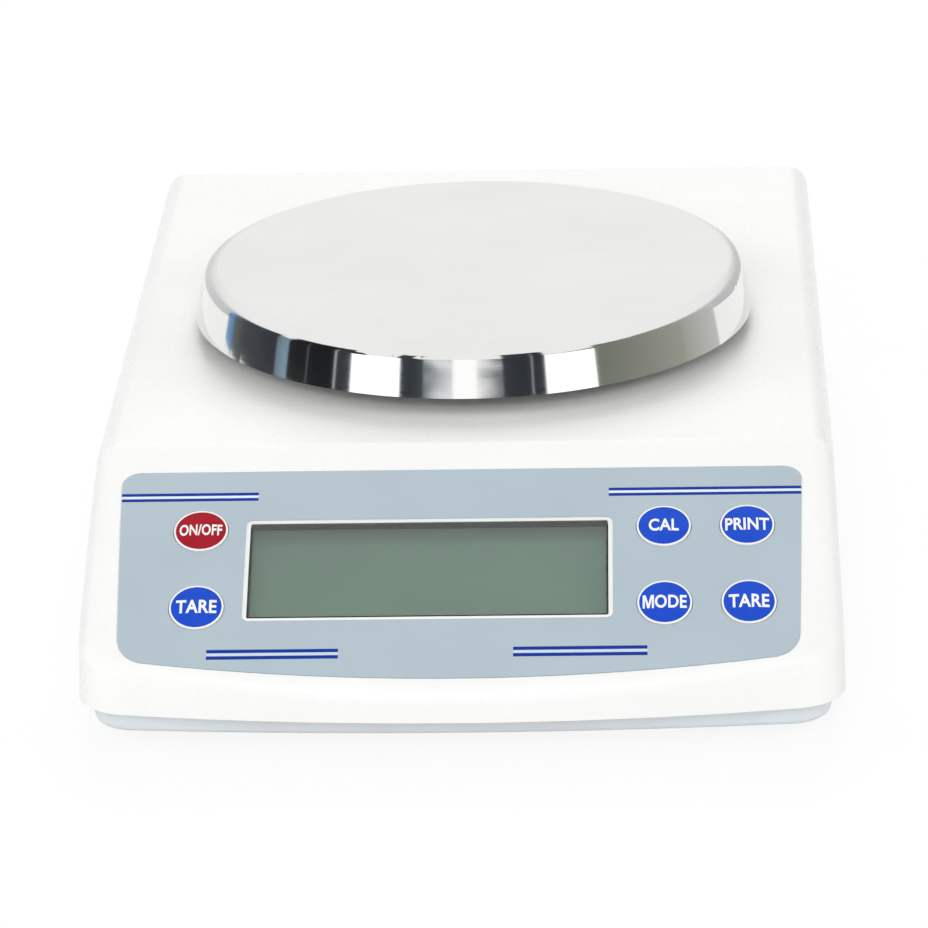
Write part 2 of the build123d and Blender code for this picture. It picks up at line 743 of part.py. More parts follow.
def make_support():
    """Cast pan support: hub and four tapered arms with a stiffening web under each."""
    hub = rod(support_hub, support_low, support_top, 0, 0)
    low = support_top - arm_height
    half, tip = arm_width / 2, arm_tip / 2
    outline = make_face(Polyline((0, -half), (arm_reach, -tip), (arm_reach, tip), (0, half), close=True))
    outline = fillet(outline.vertices().group_by(Axis.X)[-1], tip - touch_gap)
    arm = extrude(Pos(0, 0, low) * outline, amount=arm_height)
    start = support_hub - 1
    web_face = make_face(Polyline((start, low), (web_reach, low), (start, support_low), close=True))
    web = extrude(Plane.XZ * web_face, amount=web_sheet / 2, both=True)
    arms = [Rot(0, 0, arm_turn + 90 * turn) * (arm + web) for turn in range(4)]
    support = fillet(hub.edges().filter_by(GeomType.CIRCLE).group_by(Axis.Z)[-1], block_edge) + fused(arms)
    pip_hole = rod(pip_radius + touch_gap, 0, support_top + 1, cushion_place)
    holes = [Rot(0, 0, arm_turn + 90 * turn) * pip_hole for turn in range(4)]
    holes.append(rod(spigot_radius + touch_gap, 0, support_low + spigot_height + touch_gap))
    holes.append(rod(centre_screw + touch_gap, 0, support_top + 1))
    holes.append(rod(centre_head + screw_gap, support_top - centre_head_height - touch_gap, support_top + 1))
    holes += [Rot(0, 0, 90 * turn) * rod(hub_hole, 0, support_top + 1, hub_hole_place) for turn in range(4)]
    return Pos(0, pan_y, 0) * (support - fused(holes))


def make_cushions():
    """Four rubber buttons, each held by a pip in its arm."""
    top = pan_top - pan_sheet
    cushions = []
    for turn in range(4):
        cone = Pos(cushion_place, 0, support_top) * Cone(
            cushion_radius, cushion_radius - cushion_taper, top - support_top, align=low_align
        )
        pip = rod(pip_radius, support_top - arm_height, support_top, cushion_place)
        cushions.append(Pos(0, pan_y, 0) * Rot(0, 0, arm_turn + 90 * turn) * (cone + pip))
    return group(cushions)


def make_pan():
    """Pressed stainless pan: flat top, rounded edge, skirt that flares to a rolled rim."""
    lean = tan(radians(pan_flare))
    shoulder = pan_radius - pan_height * lean
    bulge = (pan_radius + shoulder) / 2 + skirt_bow * cos(radians(pan_flare))
    bulge_z = (rim_z + pan_top) / 2 + skirt_bow * lean
    skirt = ThreePointArc((pan_radius, rim_z), (bulge, bulge_z), (shoulder, pan_top))
    rest = Polyline((shoulder, pan_top), (0, pan_top), (0, rim_z), (pan_radius, rim_z))
    outer = make_face([skirt] + rest.edges())
    corner = outer.vertices().sort_by_distance((shoulder, pan_top))[0]
    outer = fillet([corner], pan_edge)
    shift = pan_sheet / cos(radians(pan_flare))
    inner_low = rim_z - 1
    low_half = pan_radius + lean - shift
    high_half = shoulder + pan_sheet * lean - shift
    under = pan_top - pan_sheet
    corners = [(0, inner_low), (low_half, inner_low), (high_half, under), (0, under)]
    inner = make_face(Polyline(*corners, close=True))
    corner = inner.vertices().sort_by_distance((high_half, under))[0]
    inner = fillet([corner], pan_edge - pan_sheet)
    hem = Pos(pan_radius - pan_hem * (1 + lean), rim_z + pan_hem) * Circle(pan_hem)
    section = outer - inner + hem
    return Pos(0, pan_y, 0) * revolve(Plane.XZ * section, Axis.Z)


def make_key(name):
    """Key cap with a crowned top, a retaining flange under the cover and a stem to its switch."""
    inner = -wall - 0.1
    section = Polyline(
        (0, -stem_reach),
        (stem_radius, -stem_reach),
        (stem_radius, inner - key_flange_sheet),
        (key_flange, inner - key_flange_sheet),
        (key_flange, inner),
        (key_radius, inner),
        (key_radius, overlay_proud + key_proud),
    )
    edge_z = overlay_proud + key_proud
    ball = (key_radius**2 + key_crown**2) / (2 * key_crown)
    middle_z = edge_z + key_crown - ball + sqrt(ball**2 - key_radius**2 / 4)
    crown = ThreePointArc((key_radius, edge_z), (key_radius / 2, middle_z), (0, edge_z + key_crown))
    close = Line((0, edge_z + key_crown), (0, -stem_reach))
    face = make_face(section.edges() + [crown, close])
    return on_plane(key_plane(name), revolve(Plane.XZ * face, Axis.Z))


def make_switches():
    """Six push switches on the display board, each with a guide hole for its key's stem."""
    switches = []
    for name in keys:
        column, row = keys[name]
        place = Pos(key_columns[column], up_slope(key_rows[row]), -board_depth)
        body = Box(switch_size, switch_size, switch_height, align=low_align)
        body = chamfer(body.edges().filter_by(Axis.Z), fine_edge)
        guide_low = -stem_reach - key_travel - stem_room
        guide = rod(stem_radius + stem_gap, guide_low, 0)
        switches.append(on_plane(display, place * body) - on_plane(key_plane(name), guide))
    return group(switches)


def window_outline(grow=0.0):
    """The display opening in the cover."""
    corner = max(window_corner + grow, 0.1)
    return RectangleRounded(window_width + 2 * grow, window_height + 2 * grow, corner)


def on_window(shape):
    """A shape built about the window's centre on the display plane, carried to its place."""
    return on_plane(display, window_at * shape)


def plate_between(width, height, top, bottom):
    """A flat plate of the display stack between two depths below the display plane."""
    return Pos(0, 0, -bottom) * Box(width, height, bottom - top, align=low_align)


def make_lens():
    """Clear window, bent to the panel and almost flush with it."""
    return panel_sheet(window_at * window_outline(-fit_gap), -lens_back, -lens_depth)


def make_gasket():
    """Foam frame that lines the opening between the window and the glass."""
    outline = window_outline(-touch_gap) - window_outline(-touch_gap - gasket_wall)
    return extrude(display * (window_at * outline), amount=-glass_depth) & panel_band(-wall * 2, -lens_back)


def make_glass():
    return on_window(plate_between(glass_width, glass_height, glass_depth, glass_back))


def make_holder():
    """Frame that centres the glass under the window and stands on the display board."""
    width, height = glass_width + 2 * holder_wall, 2 * holder_half
    frame = plate_between(width, height, holder_top, board_depth)
    frame = fillet(frame.edges().filter_by(Axis.Z), board_corner)
    frame -= plate_between(window_width, window_height, 0, board_depth + 1)
    seat_width, seat_height = glass_width + 2 * glass_gap, glass_height + 2 * glass_gap
    frame -= plate_between(seat_width, seat_height, glass_depth - 1, board_depth + 1)
    return on_window(frame)


def make_reflector():
    width = glass_width - 2 * reflector_gap
    height = glass_height - 2 * (strip_width + strip_gap + reflector_gap)
    return on_window(plate_between(width, height, glass_back, reflector_back))


def make_contact_strips():
    offset_v = glass_height / 2 - strip_width / 2 - strip_gap
    strip = plate_between(glass_width - 2 * strip_end, strip_width, glass_back, board_depth)
    return group([on_window(Pos(0, side * offset_v, 0) * strip) for side in (-1, 1)])


def make_display_board():
    board = plate_between(board_width, board_height, board_depth, board_depth + board_sheet)
    board = fillet(board.edges().filter_by(Axis.Z), board_corner)
    holes = [Pos(x, v, -board_depth - 1) * Cylinder(board_hole, 6) for x, v in board_posts]
    return on_plane(display, board - fused(holes))


def make_display_screws():
    screws = []
    for x, v in board_posts:
        low = -board_depth - board_sheet
        shank = rod(board_screw, low, low + board_screw_length, x, v)
        head = rod(board_head, low - board_head_height, low, x, v)
        head = fillet(head.edges().filter_by(GeomType.CIRCLE).sort_by(Axis.Z)[:1], fine_edge)
        screws.append(on_plane(display, shank + head))
    return group(screws)


def make_main_board():
    board = slab(main_width, main_depth, main_z, board_top, 0, main_y)
    board = fillet(board.edges().filter_by(Axis.Z), board_corner)
    holes = [rod(board_hole, main_z - 1, board_top + 1, x, y) for x, y in main_posts]
    return board - fused(holes)


def make_board_parts():
    """Chips, capacitors and the cable headers on the main board."""
    parts = [
        slab(ribbon_header, header_width, board_top, board_top + header_height, ribbon_x, header_y),
        slab(lead_header, header_width, board_top, board_top + lead_header_height, lead_x, header_y),
    ]
    for width, depth, height, x, y in chips.values():
        parts.append(slab(width, depth, board_top, board_top + height, x, main_y + y))
    for radius, height, x, y in capacitors.values():
        can = rod(radius, board_top, board_top + height, x, main_y + y)
        parts.append(fillet(can.edges().filter_by(GeomType.CIRCLE).sort_by(Axis.Z)[-1:], capacitor_edge))
    return group(parts)


def make_shield():
    """Folded sheet can over the converter circuit."""
    y = main_y + shield_shift
    top = board_top + shield_height
    can = slab(shield_width, shield_depth, board_top, top, shield_x, y)
    can = fillet(can.edges().filter_by(Axis.Z) + can.edges().group_by(Axis.Z)[-1], shield_edge)
    width, depth = shield_width - 2 * shield_sheet, shield_depth - 2 * shield_sheet
    return can - slab(width, depth, board_top - 1, top - shield_sheet, shield_x, y)


def make_ribbon():
    """Flat cable from the display board, down and along the tray's floor, up to its header."""
    top = (display.location * Pos(ribbon_x, ribbon_start, -board_depth - board_sheet - ribbon_sheet)).position
    board_edge = main_back - main_depth
    run_z = floor + floor_rib_height + 1
    end_z = board_top + header_height / 2
    line = FilletPolyline(
        (top.Y, top.Z),
        (top.Y + header_inset, run_z),
        (board_edge - 3 * header_inset, run_z),
        (board_edge - header_inset, end_z),
        (header_y - header_width / 2 - touch_gap, end_z),
        radius=ribbon_bend,
    )
    face = trace(line, line_width=ribbon_sheet)
    return Pos(ribbon_x, 0, 0) * extrude(Plane.YZ * face, amount=ribbon_width / 2, both=True)


def make_lead():
    """Round lead from the side of the load cell to its header."""
    start = Vector(cell_width / 2, cell_back - lead_from_end, (cell_low + cell_top) / 2)
    header_face = header_y - header_width / 2
    line = FilletPolyline(
        start,
        start + Vector(8, 0, 0),
        Vector(lead_x, header_face - lead_from_end, board_top + lead_header_height),
        Vector(lead_x, header_face - lead_end_gap, board_top + lead_header_height / 2),
        radius=lead_bend,
    )
    return sweep(Plane(line @ 0, z_dir=line % 0) * Circle(lead_radius), path=line)


def make_stop():
    """Stop stud that takes the load when the free end is pressed too far."""
    stud = rod(stop_radius, floor, cell_low - stop_gap, 0, stop_y)
    stud = chamfer(stud.edges().filter_by(GeomType.CIRCLE).sort_by(Axis.Z)[-1:], fine_edge)
    return stud + rod(stop_pin - touch_gap, foot_height + stop_pin_start, floor, 0, stop_y)


def make_jack():
    """Round power socket in a square body."""
    middle = niche_y - jack_length / 2
    body = slab(jack_width, jack_length, board_top, board_top + jack_height, jack_x, middle)
    body = fillet(body.edges().filter_by(Axis.Y).group_by(Axis.Z)[-1], jack_edge)
    bore = Pos(jack_x, niche_y, jack_z) * Rot(90, 0, 0) * Cylinder(jack_bore, 2 * jack_pin_length)
    seat = Pos(jack_x, middle, jack_z) * Rot(90, 0, 0) * Cylinder(jack_pin + touch_gap, jack_length + 2)
    return body - bore - seat


def make_jack_pin():
    low = niche_y - jack_length + 0.5
    pin = Pos(jack_x, (low + niche_y - 1) / 2, jack_z) * Rot(90, 0, 0) * Cylinder(jack_pin, niche_y - 1 - low)
    return fillet(pin.edges().filter_by(GeomType.CIRCLE).sort_by(Axis.Y)[-1:], fine_edge)


def port_part(face, near, far):
    """A piece of the serial port with a section seen from behind, between two depths."""
    return Pos(port_x, far, port_z) * extrude(Plane.XZ * face, amount=far - near)


def make_port_shell():
    """Pressed metal shell with its mounting flange."""
    flange = RectangleRounded(port_flange_width, port_flange_height, port_flange_corner)
    for side in (-1, 1):
        flange -= Pos(side * jackscrew_spacing / 2, 0) * Circle(port_flange_hole)
    flange -= port_outline(-port_sheet)
    tube = port_outline() - port_outline(-port_sheet)
    low = niche_wall_y - port_sheet
    return port_part(flange, low, niche_wall_y) + port_part(tube, low, port_face_y)


def make_port_insulator():
    """Insulator with nine contact holes in rows of five and four."""
    low = niche_wall_y - port_sheet
    block = port_part(port_outline(-port_sheet - touch_gap), low, port_face_y - port_recess)
    rear = RectangleRounded(port_width + 2 * port_block, port_height + 2 * port_block, port_block)
    block += port_part(rear, block_back, low)
    contact_hole = Rot(90, 0, 0) * Cylinder(contact_radius, 2 * contact_depth)
    holes = []
    for count, v in ((5, contact_row / 2), (4, -contact_row / 2)):
        for step in range(count):
            x = port_x + (step - (count - 1) / 2) * contact_pitch
            holes.append(Pos(x, port_face_y, port_z + v) * contact_hole)
    return block - fused(holes)


def make_port_legs():
    """Nine solder legs from the insulator down into the main board."""
    legs = []
    for count, v, reach in ((5, contact_row / 2, leg_rows[0]), (4, -contact_row / 2, leg_rows[1])):
        for step in range(count):
            x = port_x + (step - (count - 1) / 2) * contact_pitch
            y = block_back - contact_row - reach
            top = port_z + v + leg_width / 2
            length = block_back - y + leg_width / 2
            run = slab(leg_width, length, top - leg_width, top, x, block_back - length / 2)
            legs.append(run + slab(leg_width, leg_width, board_top, top, x, y))
    return group(legs)


def make_jackscrews():
    """Two hexagon stand-offs that clamp the port and take the plug's screws."""
    shank_length = wall + port_sheet + jackscrew_tail
    standoffs = []
    for side in (-1, 1):
        place = Pos(port_x + side * jackscrew_spacing / 2, 0, port_z)
        section = RegularPolygon(jackscrew_flat / 2, 6, major_radius=False)
        hexagon = extrude(Plane.XZ * section, amount=-jackscrew_height)
        shank = Pos(0, -shank_length / 2, 0) * Rot(90, 0, 0) * Cylinder(jackscrew_shank, shank_length)
        bore = Pos(0, jackscrew_height, 0) * Rot(90, 0, 0) * Cylinder(jackscrew_hole, 2 * jackscrew_height)
        standoffs.append(place * Pos(0, niche_y, 0) * (hexagon + shank - bore))
    return group(standoffs)


def make_bezel():
    """Trim ring of the level."""
    inner, outer = level_radius + touch_gap, level_radius + bezel_wall
    top = deck + bezel_height
    ring = rod(outer, level_low + bezel_start, top) + rod(bezel_flange, deck, top)
    ring = fillet(ring.edges().filter_by(GeomType.CIRCLE).group_by(Axis.Z)[-1], fine_edge)
    return Pos(0, level_y, 0) * (ring - rod(inner, 0, deck + 5))


def make_level_cup():
    cup = rod(level_radius, level_low, lens_low, 0, level_y)
    return cup - rod(level_radius - level_wall, level_low + level_wall, lens_low + 1, 0, level_y)


def make_level_fluid():
    """Liquid of the level with its air bubble against the lens."""
    fluid = rod(level_radius - level_wall - liquid_gap, level_low + level_wall, lens_low, 0, level_y)
    return fluid - Pos(0, level_y, lens_low + bubble_lift) * Sphere(bubble_radius)


def make_level_lens():
    lens = rod(level_radius, lens_low, lens_low + level_lens, 0, level_y)
    return fillet(lens.edges().filter_by(GeomType.CIRCLE).sort_by(Axis.Z)[-1:], level_lens_edge)


def make_pad(x, y):
    pad = rod(pad_radius, 0, pad_height, x, y)
    return chamfer(pad.edges().filter_by(GeomType.CIRCLE).sort_by(Axis.Z)[:1], fine_edge)


def make_wheel(x, y):
    """Levelling foot: gripped wheel, with a recess for the pad, on a threaded stud."""
    top = wheel_low + wheel_height
    wheel = rod(wheel_radius, wheel_low, top)
    wheel = chamfer(wheel.edges().filter_by(GeomType.CIRCLE), wheel_edge)
    grip = rod(grip_radius, 0, top + 1, wheel_radius + grip_offset)
    wheel -= fused([Rot(0, 0, turn * 360 / wheel_grips) * grip for turn in range(wheel_grips)])
    wheel -= rod(pad_radius + pad_gap, 0, pad_height)
    stud = rod(stud_radius, pad_height, stud_top)
    stud = chamfer(stud.edges().filter_by(GeomType.CIRCLE).sort_by(Axis.Z)[-1:], fine_edge)
    return Pos(x, y, 0) * (wheel + stud)


def make_insert(x, y):
    sleeve = rod(insert_radius - insert_fit, insert_top - insert_length, insert_top, x, y)
    return sleeve - rod(stud_radius + touch_gap, 0, insert_top + 1, x, y)


def make_cover_screws():
    seat = foot_height + small_head_height + head_sink
    sizes = (small_screw, small_head, small_head_height, seat, cover_post_seat + small_reach)
    return group([cap_screw(*sizes, x, y) for x, y in cover_posts])


def make_main_screws():
    sizes = (board_screw, board_head, board_head_height, board_top, board_top - board_screw_length)
    return group([cap_screw(*sizes, x, y) for x, y in main_posts])


pieces = {
    "top_cover": make_cover(),
    "base_tray": make_tray(),
    "panel_overlay": make_overlay(),
    "lcd_window": make_lens(),
    "lcd_gasket": make_gasket(),
    "lcd_glass": make_glass(),
    "lcd_holder": make_holder(),
    "lcd_reflector": make_reflector(),
    "lcd_contact_strips": make_contact_strips(),
    "display_board": make_display_board(),
    "display_board_screws": make_display_screws(),
    "key_switches": make_switches(),
    "main_board": make_main_board(),
    "main_board_parts": make_board_parts(),
    "main_board_screws": make_main_screws(),
    "shield_can": make_shield(),
    "ribbon_cable": make_ribbon(),
    "load_cell_lead": make_lead(),
    "load_cell_mount": make_mount(),
    "load_cell": make_load_cell(),
    "load_cell_screws": make_cell_screws(),
    "overload_stop": make_stop(),
    "level_bezel": make_bezel(),
    "level_cup": make_level_cup(),
    "level_fluid": make_level_fluid(),
    "level_lens": make_level_lens(),
    "dc_jack": make_jack(),
    "dc_jack_pin": make_jack_pin(),
    "serial_shell": make_port_shell(),
    "serial_insulator": make_port_insulator(),
    "serial_legs": make_port_legs(),
    "serial_jackscrews": make_jackscrews(),
    "cover_screws": make_cover_screws(),
    "foot_inserts": group([make_insert(x, y) for x, y in foot_places.values()]),
    "carrier_spacer": make_spacer(),
    "carrier_plate": make_plate(),
    "carrier_screws": make_carrier_screws(),
    "carrier_post": make_post(),
    "pan_support": make_support(),
    "support_screw": make_support_screw(),
    "pan_cushions": make_cushions(),
    "weighing_pan": make_pan(),
}
for name in keys:
    pieces[name] = make_key(name)
for place, (x, y) in foot_places.items():
    pieces["foot_pad_" + place] = make_pad(x, y)
    pieces["foot_wheel_" + place] = make_wheel(x, y)

os.makedirs("parts", exist_ok=True)
for name, piece in pieces.items():
    export_step(piece, f"parts/{name}.step")
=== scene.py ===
from math import asin, cos, pi, radians, sin, sqrt, tan

import bmesh
import bpy
from mathutils import Matrix, Vector


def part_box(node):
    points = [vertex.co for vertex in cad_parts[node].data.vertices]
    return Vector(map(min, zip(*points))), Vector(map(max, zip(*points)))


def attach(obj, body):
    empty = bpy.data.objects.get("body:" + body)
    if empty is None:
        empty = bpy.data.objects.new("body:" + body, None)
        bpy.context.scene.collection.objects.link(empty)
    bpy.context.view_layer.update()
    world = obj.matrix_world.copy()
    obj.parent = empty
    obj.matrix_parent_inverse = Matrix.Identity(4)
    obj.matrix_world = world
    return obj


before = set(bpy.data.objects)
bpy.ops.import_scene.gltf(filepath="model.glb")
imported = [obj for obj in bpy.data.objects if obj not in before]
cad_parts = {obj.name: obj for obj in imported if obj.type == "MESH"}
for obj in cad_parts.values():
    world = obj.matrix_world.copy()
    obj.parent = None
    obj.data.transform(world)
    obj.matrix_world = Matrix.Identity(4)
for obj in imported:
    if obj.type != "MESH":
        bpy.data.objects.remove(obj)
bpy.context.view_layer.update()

MM = 0.001

# The housing's panel in millimetres: it slopes down from the fold, and steepens along a cylinder
FOLD_Y = -86.9
DECK_Z = 61.0
PANEL_RADIUS = 362.0
PANEL_SLOPE = radians(20.2)
PANEL_AXIS_Y = FOLD_Y + PANEL_RADIUS * sin(PANEL_SLOPE)
PANEL_AXIS_Z = DECK_Z - PANEL_RADIUS * cos(PANEL_SLOPE)

# A key's radius, the height of its edge above the panel, and how far its crown rises above that edge
KEY_RADIUS = 7.25
KEY_EDGE = 0.35
KEY_CROWN = 0.45

# Place across the panel, arc length down it, word, and the word's width and height, in millimetres
KEYS = {
    "key_on_off": (-69.7, 33.8, "ON/OFF", 11.4, 4.0),
    "key_tare_left": (-69.7, 60.6, "TARE", 10.8, 4.4),
    "key_cal": (53.95, 33.8, "CAL", 8.0, 4.4),
    "key_print": (76.15, 33.8, "PRINT", 11.7, 4.4),
    "key_mode": (53.95, 60.6, "MODE", 11.6, 4.4),
    "key_tare_right": (76.15, 60.6, "TARE", 10.7, 4.4),
}

# The imported parts give the corners of the pan and of the level's lens, in metres
pan_low, pan_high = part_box("weighing_pan")
pan_middle = (pan_low.y + pan_high.y) / 2
pan_radius = (pan_high.x - pan_low.x) / 2
lens_low, lens_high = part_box("level_lens")
lens_middle = (lens_low.y + lens_high.y) / 2

scene = bpy.context.scene
scene.view_settings.view_transform = "Standard"


# Small helpers

def colour(code):
    """An sRGB hex colour as the linear values that a shader takes."""
    parts = [int(code[i:i + 2], 16) / 255 for i in (1, 3, 5)]
    return [v / 12.92 if v <= 0.04045 else ((v + 0.055) / 1.055) ** 2.4 for v in parts] + [1.0]


def connect(tree, node, links):
    """Gives each named or numbered input a value, a socket, or the first live output of another node."""
    for name, value in links.items():
        if isinstance(value, bpy.types.Node):
            value = next(output for output in value.outputs if output.enabled)
        if isinstance(value, bpy.types.NodeSocket):
            tree.links.new(value, node.inputs[name])
        else:
            node.inputs[name].default_value = value


def add(tree, kind, links=None, **settings):
    """Adds a node of a kind, with its settings and links."""
    node = tree.nodes.new(kind)
    for name, value in settings.items():
        setattr(node, name, value)
    connect(tree, node, links or {})
    return node


def start_material(name, **constants):
    """A material with constants on its shader. Gives also its tree, its shader and object coordinates."""
    material = bpy.data.materials.new(name)
    material.use_nodes = True
    tree = material.node_tree
    shader = tree.nodes["Principled BSDF"]
    for key, value in constants.items():
        shader.inputs[key.replace("_", " ")].default_value = value
    place = add(tree, "ShaderNodeTexCoord").outputs["Object"]
    return material, tree, shader, place


# The part of its range that noise fills, which is spread over whatever the noise drives
NOISE_RANGE = {"From Min": 0.3, "From Max": 0.7}


def mottled(tree, place, low, high, size):
    """A colour that drifts between two shades in soft patches, about that many millimetres across."""
    patches = add(tree, "ShaderNodeTexNoise", {"Vector": place, "Scale": 1 / (size * MM)})
    share = add(tree, "ShaderNodeMapRange", {"Value": patches, **NOISE_RANGE})
    shades = {"Factor": share, "A": colour(low), "B": colour(high)}
    return add(tree, "ShaderNodeMix", shades, data_type="RGBA")


def wavering_gloss(tree, shader, place, size, smooth, dull, detail=2.0):
    """Gloss that wavers between two roughnesses, in patches about that many millimetres across."""
    patches = add(tree, "ShaderNodeTexNoise", {"Vector": place, "Scale": 1 / (size * MM), "Detail": detail})
    limits = {"Value": patches, "To Min": smooth, "To Max": dull, **NOISE_RANGE}
    connect(tree, shader, {"Roughness": add(tree, "ShaderNodeMapRange", limits)})


def grained(tree, shader, place, size, depth, smooth, dull, detail=2.0):
    """Grain of that size and depth in millimetres, with a gloss that varies between two roughnesses."""
    grain = add(tree, "ShaderNodeTexNoise", {"Vector": place, "Scale": 1 / (size * MM), "Detail": detail})
    limits = {"Value": grain, "To Min": smooth, "To Max": dull, **NOISE_RANGE}
    rough = add(tree, "ShaderNodeMapRange", limits)
    bump = add(tree, "ShaderNodeBump", {"Height": grain, "Distance": depth * MM, "Strength": 1.0})
    connect(tree, shader, {"Roughness": rough, "Normal": bump})


def between(tree, value, low, high):
    """1 where a value lies between two limits, and 0 elsewhere."""
    above = add(tree, "ShaderNodeMath", {0: value, 1: low}, operation="GREATER_THAN")
    below = add(tree, "ShaderNodeMath", {0: value, 1: high}, operation="LESS_THAN")
    return add(tree, "ShaderNodeMath", {0: above, 1: below}, operation="MULTIPLY")


# How much smoother and duller than its mean a surface gets in its grain or its tool marks
PLASTIC_SMOOTHER = 0.04
PLASTIC_DULLER = 0.05
METAL_SMOOTHER = 0.05
METAL_DULLER = 0.07
# Width of the patches in which a metal's colour drifts, in millimetres
METAL_PATCH = 12.0


def plastic(name, low, high, rough, grain, depth, mottle):
    """A moulded plastic: fine grain in the gloss and the relief, and a faint mottle in the colour."""
    material, tree, shader, place = start_material(name)
    connect(tree, shader, {"Base Color": mottled(tree, place, low, high, mottle)})
    grained(tree, shader, place, grain, depth, rough - PLASTIC_SMOOTHER, rough + PLASTIC_DULLER)
    return material


def metal(name, low, high, rough, grain, along=(1, 1, 1), depth=0.004):
    """A bare metal whose tool marks run along the axes with the small factors."""
    material, tree, shader, place = start_material(name, Metallic=1.0)
    connect(tree, shader, {"Base Color": mottled(tree, place, low, high, METAL_PATCH)})
    drawn_out = add(tree, "ShaderNodeMapping", {"Vector": place, "Scale": along})
    smooth, dull = rough - METAL_SMOOTHER, rough + METAL_DULLER
    grained(tree, shader, drawn_out, grain, depth, smooth, dull, detail=3.0)
    return material


# Materials of the housing, with their grain, its depth and their mottle in millimetres

# Real grain is mostly finer than a pixel, so each grain here is drawn as coarse as it needs to show

# Injection-moulded ABS, white: a soft sheen over a very fine spark-eroded grain
white_abs = plastic("moulded_white_abs", "#F3F4F2", "#F6F7F5", 0.3, grain=0.5, depth=0.003, mottle=40.0)
# Injection-moulded ABS, pale blue-grey, a little coarser and duller than the cover
grey_abs = plastic("moulded_grey_abs", "#DBE1E5", "#E0E6EA", 0.42, grain=0.6, depth=0.008, mottle=30.0)
# Glass-filled nylon, near black: dull, with a grain that breaks up the light on its grips
black_nylon = plastic("moulded_black_nylon", "#1B1C1E", "#242527", 0.48, grain=0.5, depth=0.02, mottle=8.0)
# Black thermoplastic of the sockets: finer and glossier
socket_plastic = plastic("moulded_black_pbt", "#17181A", "#1D1E20", 0.38, grain=0.4, depth=0.01, mottle=6.0)
# Moulded rubber: matt, with a faint grey mottle
soft_rubber = plastic("moulded_rubber", "#26272A", "#303134", 0.78, grain=0.35, depth=0.03, mottle=5.0)
# Closed-cell foam round the window: black and dull, with fine pores
black_foam = plastic("cut_polyethylene_foam", "#1F2221", "#2B2E2D", 0.85, grain=0.3, depth=0.02, mottle=1.5)
# Carbon-filled silicone of the display's contact strips: dull, finely speckled black and grey
zebra_rubber = plastic(
    "moulded_conductive_silicone", "#2C2D30", "#77797C", 0.6, grain=0.3, depth=0.01, mottle=0.4
)
# White moulded frame of the display: an even satin
frame_plastic = plastic(
    "moulded_white_polycarbonate", "#E2E4E2", "#EAEBEA", 0.4, grain=0.5, depth=0.01, mottle=10.0
)
# White diffusing film behind the display glass: faintly green, with a smooth skin
reflector_film = plastic(
    "cast_reflector_film", "#D4DAD2", "#DEE2DA", 0.35, grain=0.3, depth=0.004, mottle=15.0
)
# Epoxy chip cases and switch bodies: black with a fine matt grain
chip_epoxy = plastic("moulded_epoxy", "#202123", "#2A2B2D", 0.5, grain=0.25, depth=0.008, mottle=3.0)
# Insulation of the flat cable and the lead: plain grey with a slight sheen
cable_pvc = plastic("extruded_grey_pvc", "#8D9094", "#989B9E", 0.45, grain=0.5, depth=0.01, mottle=4.0)
# Cup of the level: white and glossy
vial_acrylic = plastic("cast_white_acrylic", "#E6E8E4", "#EFF0EC", 0.25, grain=0.5, depth=0.004, mottle=6.0)

# Materials of the metal pieces, with the size of their marks in millimetres

# Real tool marks are mostly finer than a pixel too, and are drawn as coarse as they need to show

# Milled aluminium: pale grey, with faint feed marks along the beam
milled_aluminium = metal("milled_aluminium", "#C9CBCC", "#D6D7D8", 0.32, grain=0.5, along=(1.0, 0.08, 1.0))
# Die-cast aluminium: duller, with a slightly pitted skin
cast_aluminium = metal("cast_aluminium", "#A9ABAD", "#B7B9BA", 0.46, grain=0.7, depth=0.03)
# Zinc-plated steel of the screws: bright and even
zinc_steel = metal("zinc_plated_steel", "#B8BBBE", "#C8CACB", 0.28, grain=0.3)
# Tin-plated steel sheet of the shield and the port's shell: bright, with faint rolling marks
tinned_steel = metal("tin_plated_steel", "#BFC1C1", "#CDCFCE", 0.26, grain=0.4, along=(0.1, 1.0, 1.0))
# Turned brass of the inserts: yellow, with fine turning marks
turned_brass = metal("turned_brass", "#C9A35C", "#D6B26A", 0.3, grain=0.5, along=(1.0, 1.0, 6.0))
# Gold-flashed bronze of the socket's pin: smooth and warm
contact_metal = metal("gold_flashed_bronze", "#CDB06A", "#D9BE7C", 0.25, grain=0.3)

# How far below its top the pan turns from satin into polish, in millimetres
PAN_SATIN_END = 0.2
PAN_POLISH_START = 2.8
# Roughness of the satin top and of the polished skirt, where they are smoothest and dullest
SATIN_SMOOTH, SATIN_DULL = 0.30, 0.38
POLISH_SMOOTH, POLISH_DULL = 0.05, 0.09
# Brush marks lie 0.3 mm apart on the top, and are drawn 3 times as coarse so that they show
BRUSH_MARKS = 0.9
BRUSHED_ACROSS = (0.02, 1.0, 1.0)
# Spacing of the marks on the skirt, as coarse as it needs to show, and the depth of both, in millimetres
SKIRT_MARKS = 0.8
PAN_MARK_DEPTH = 0.002


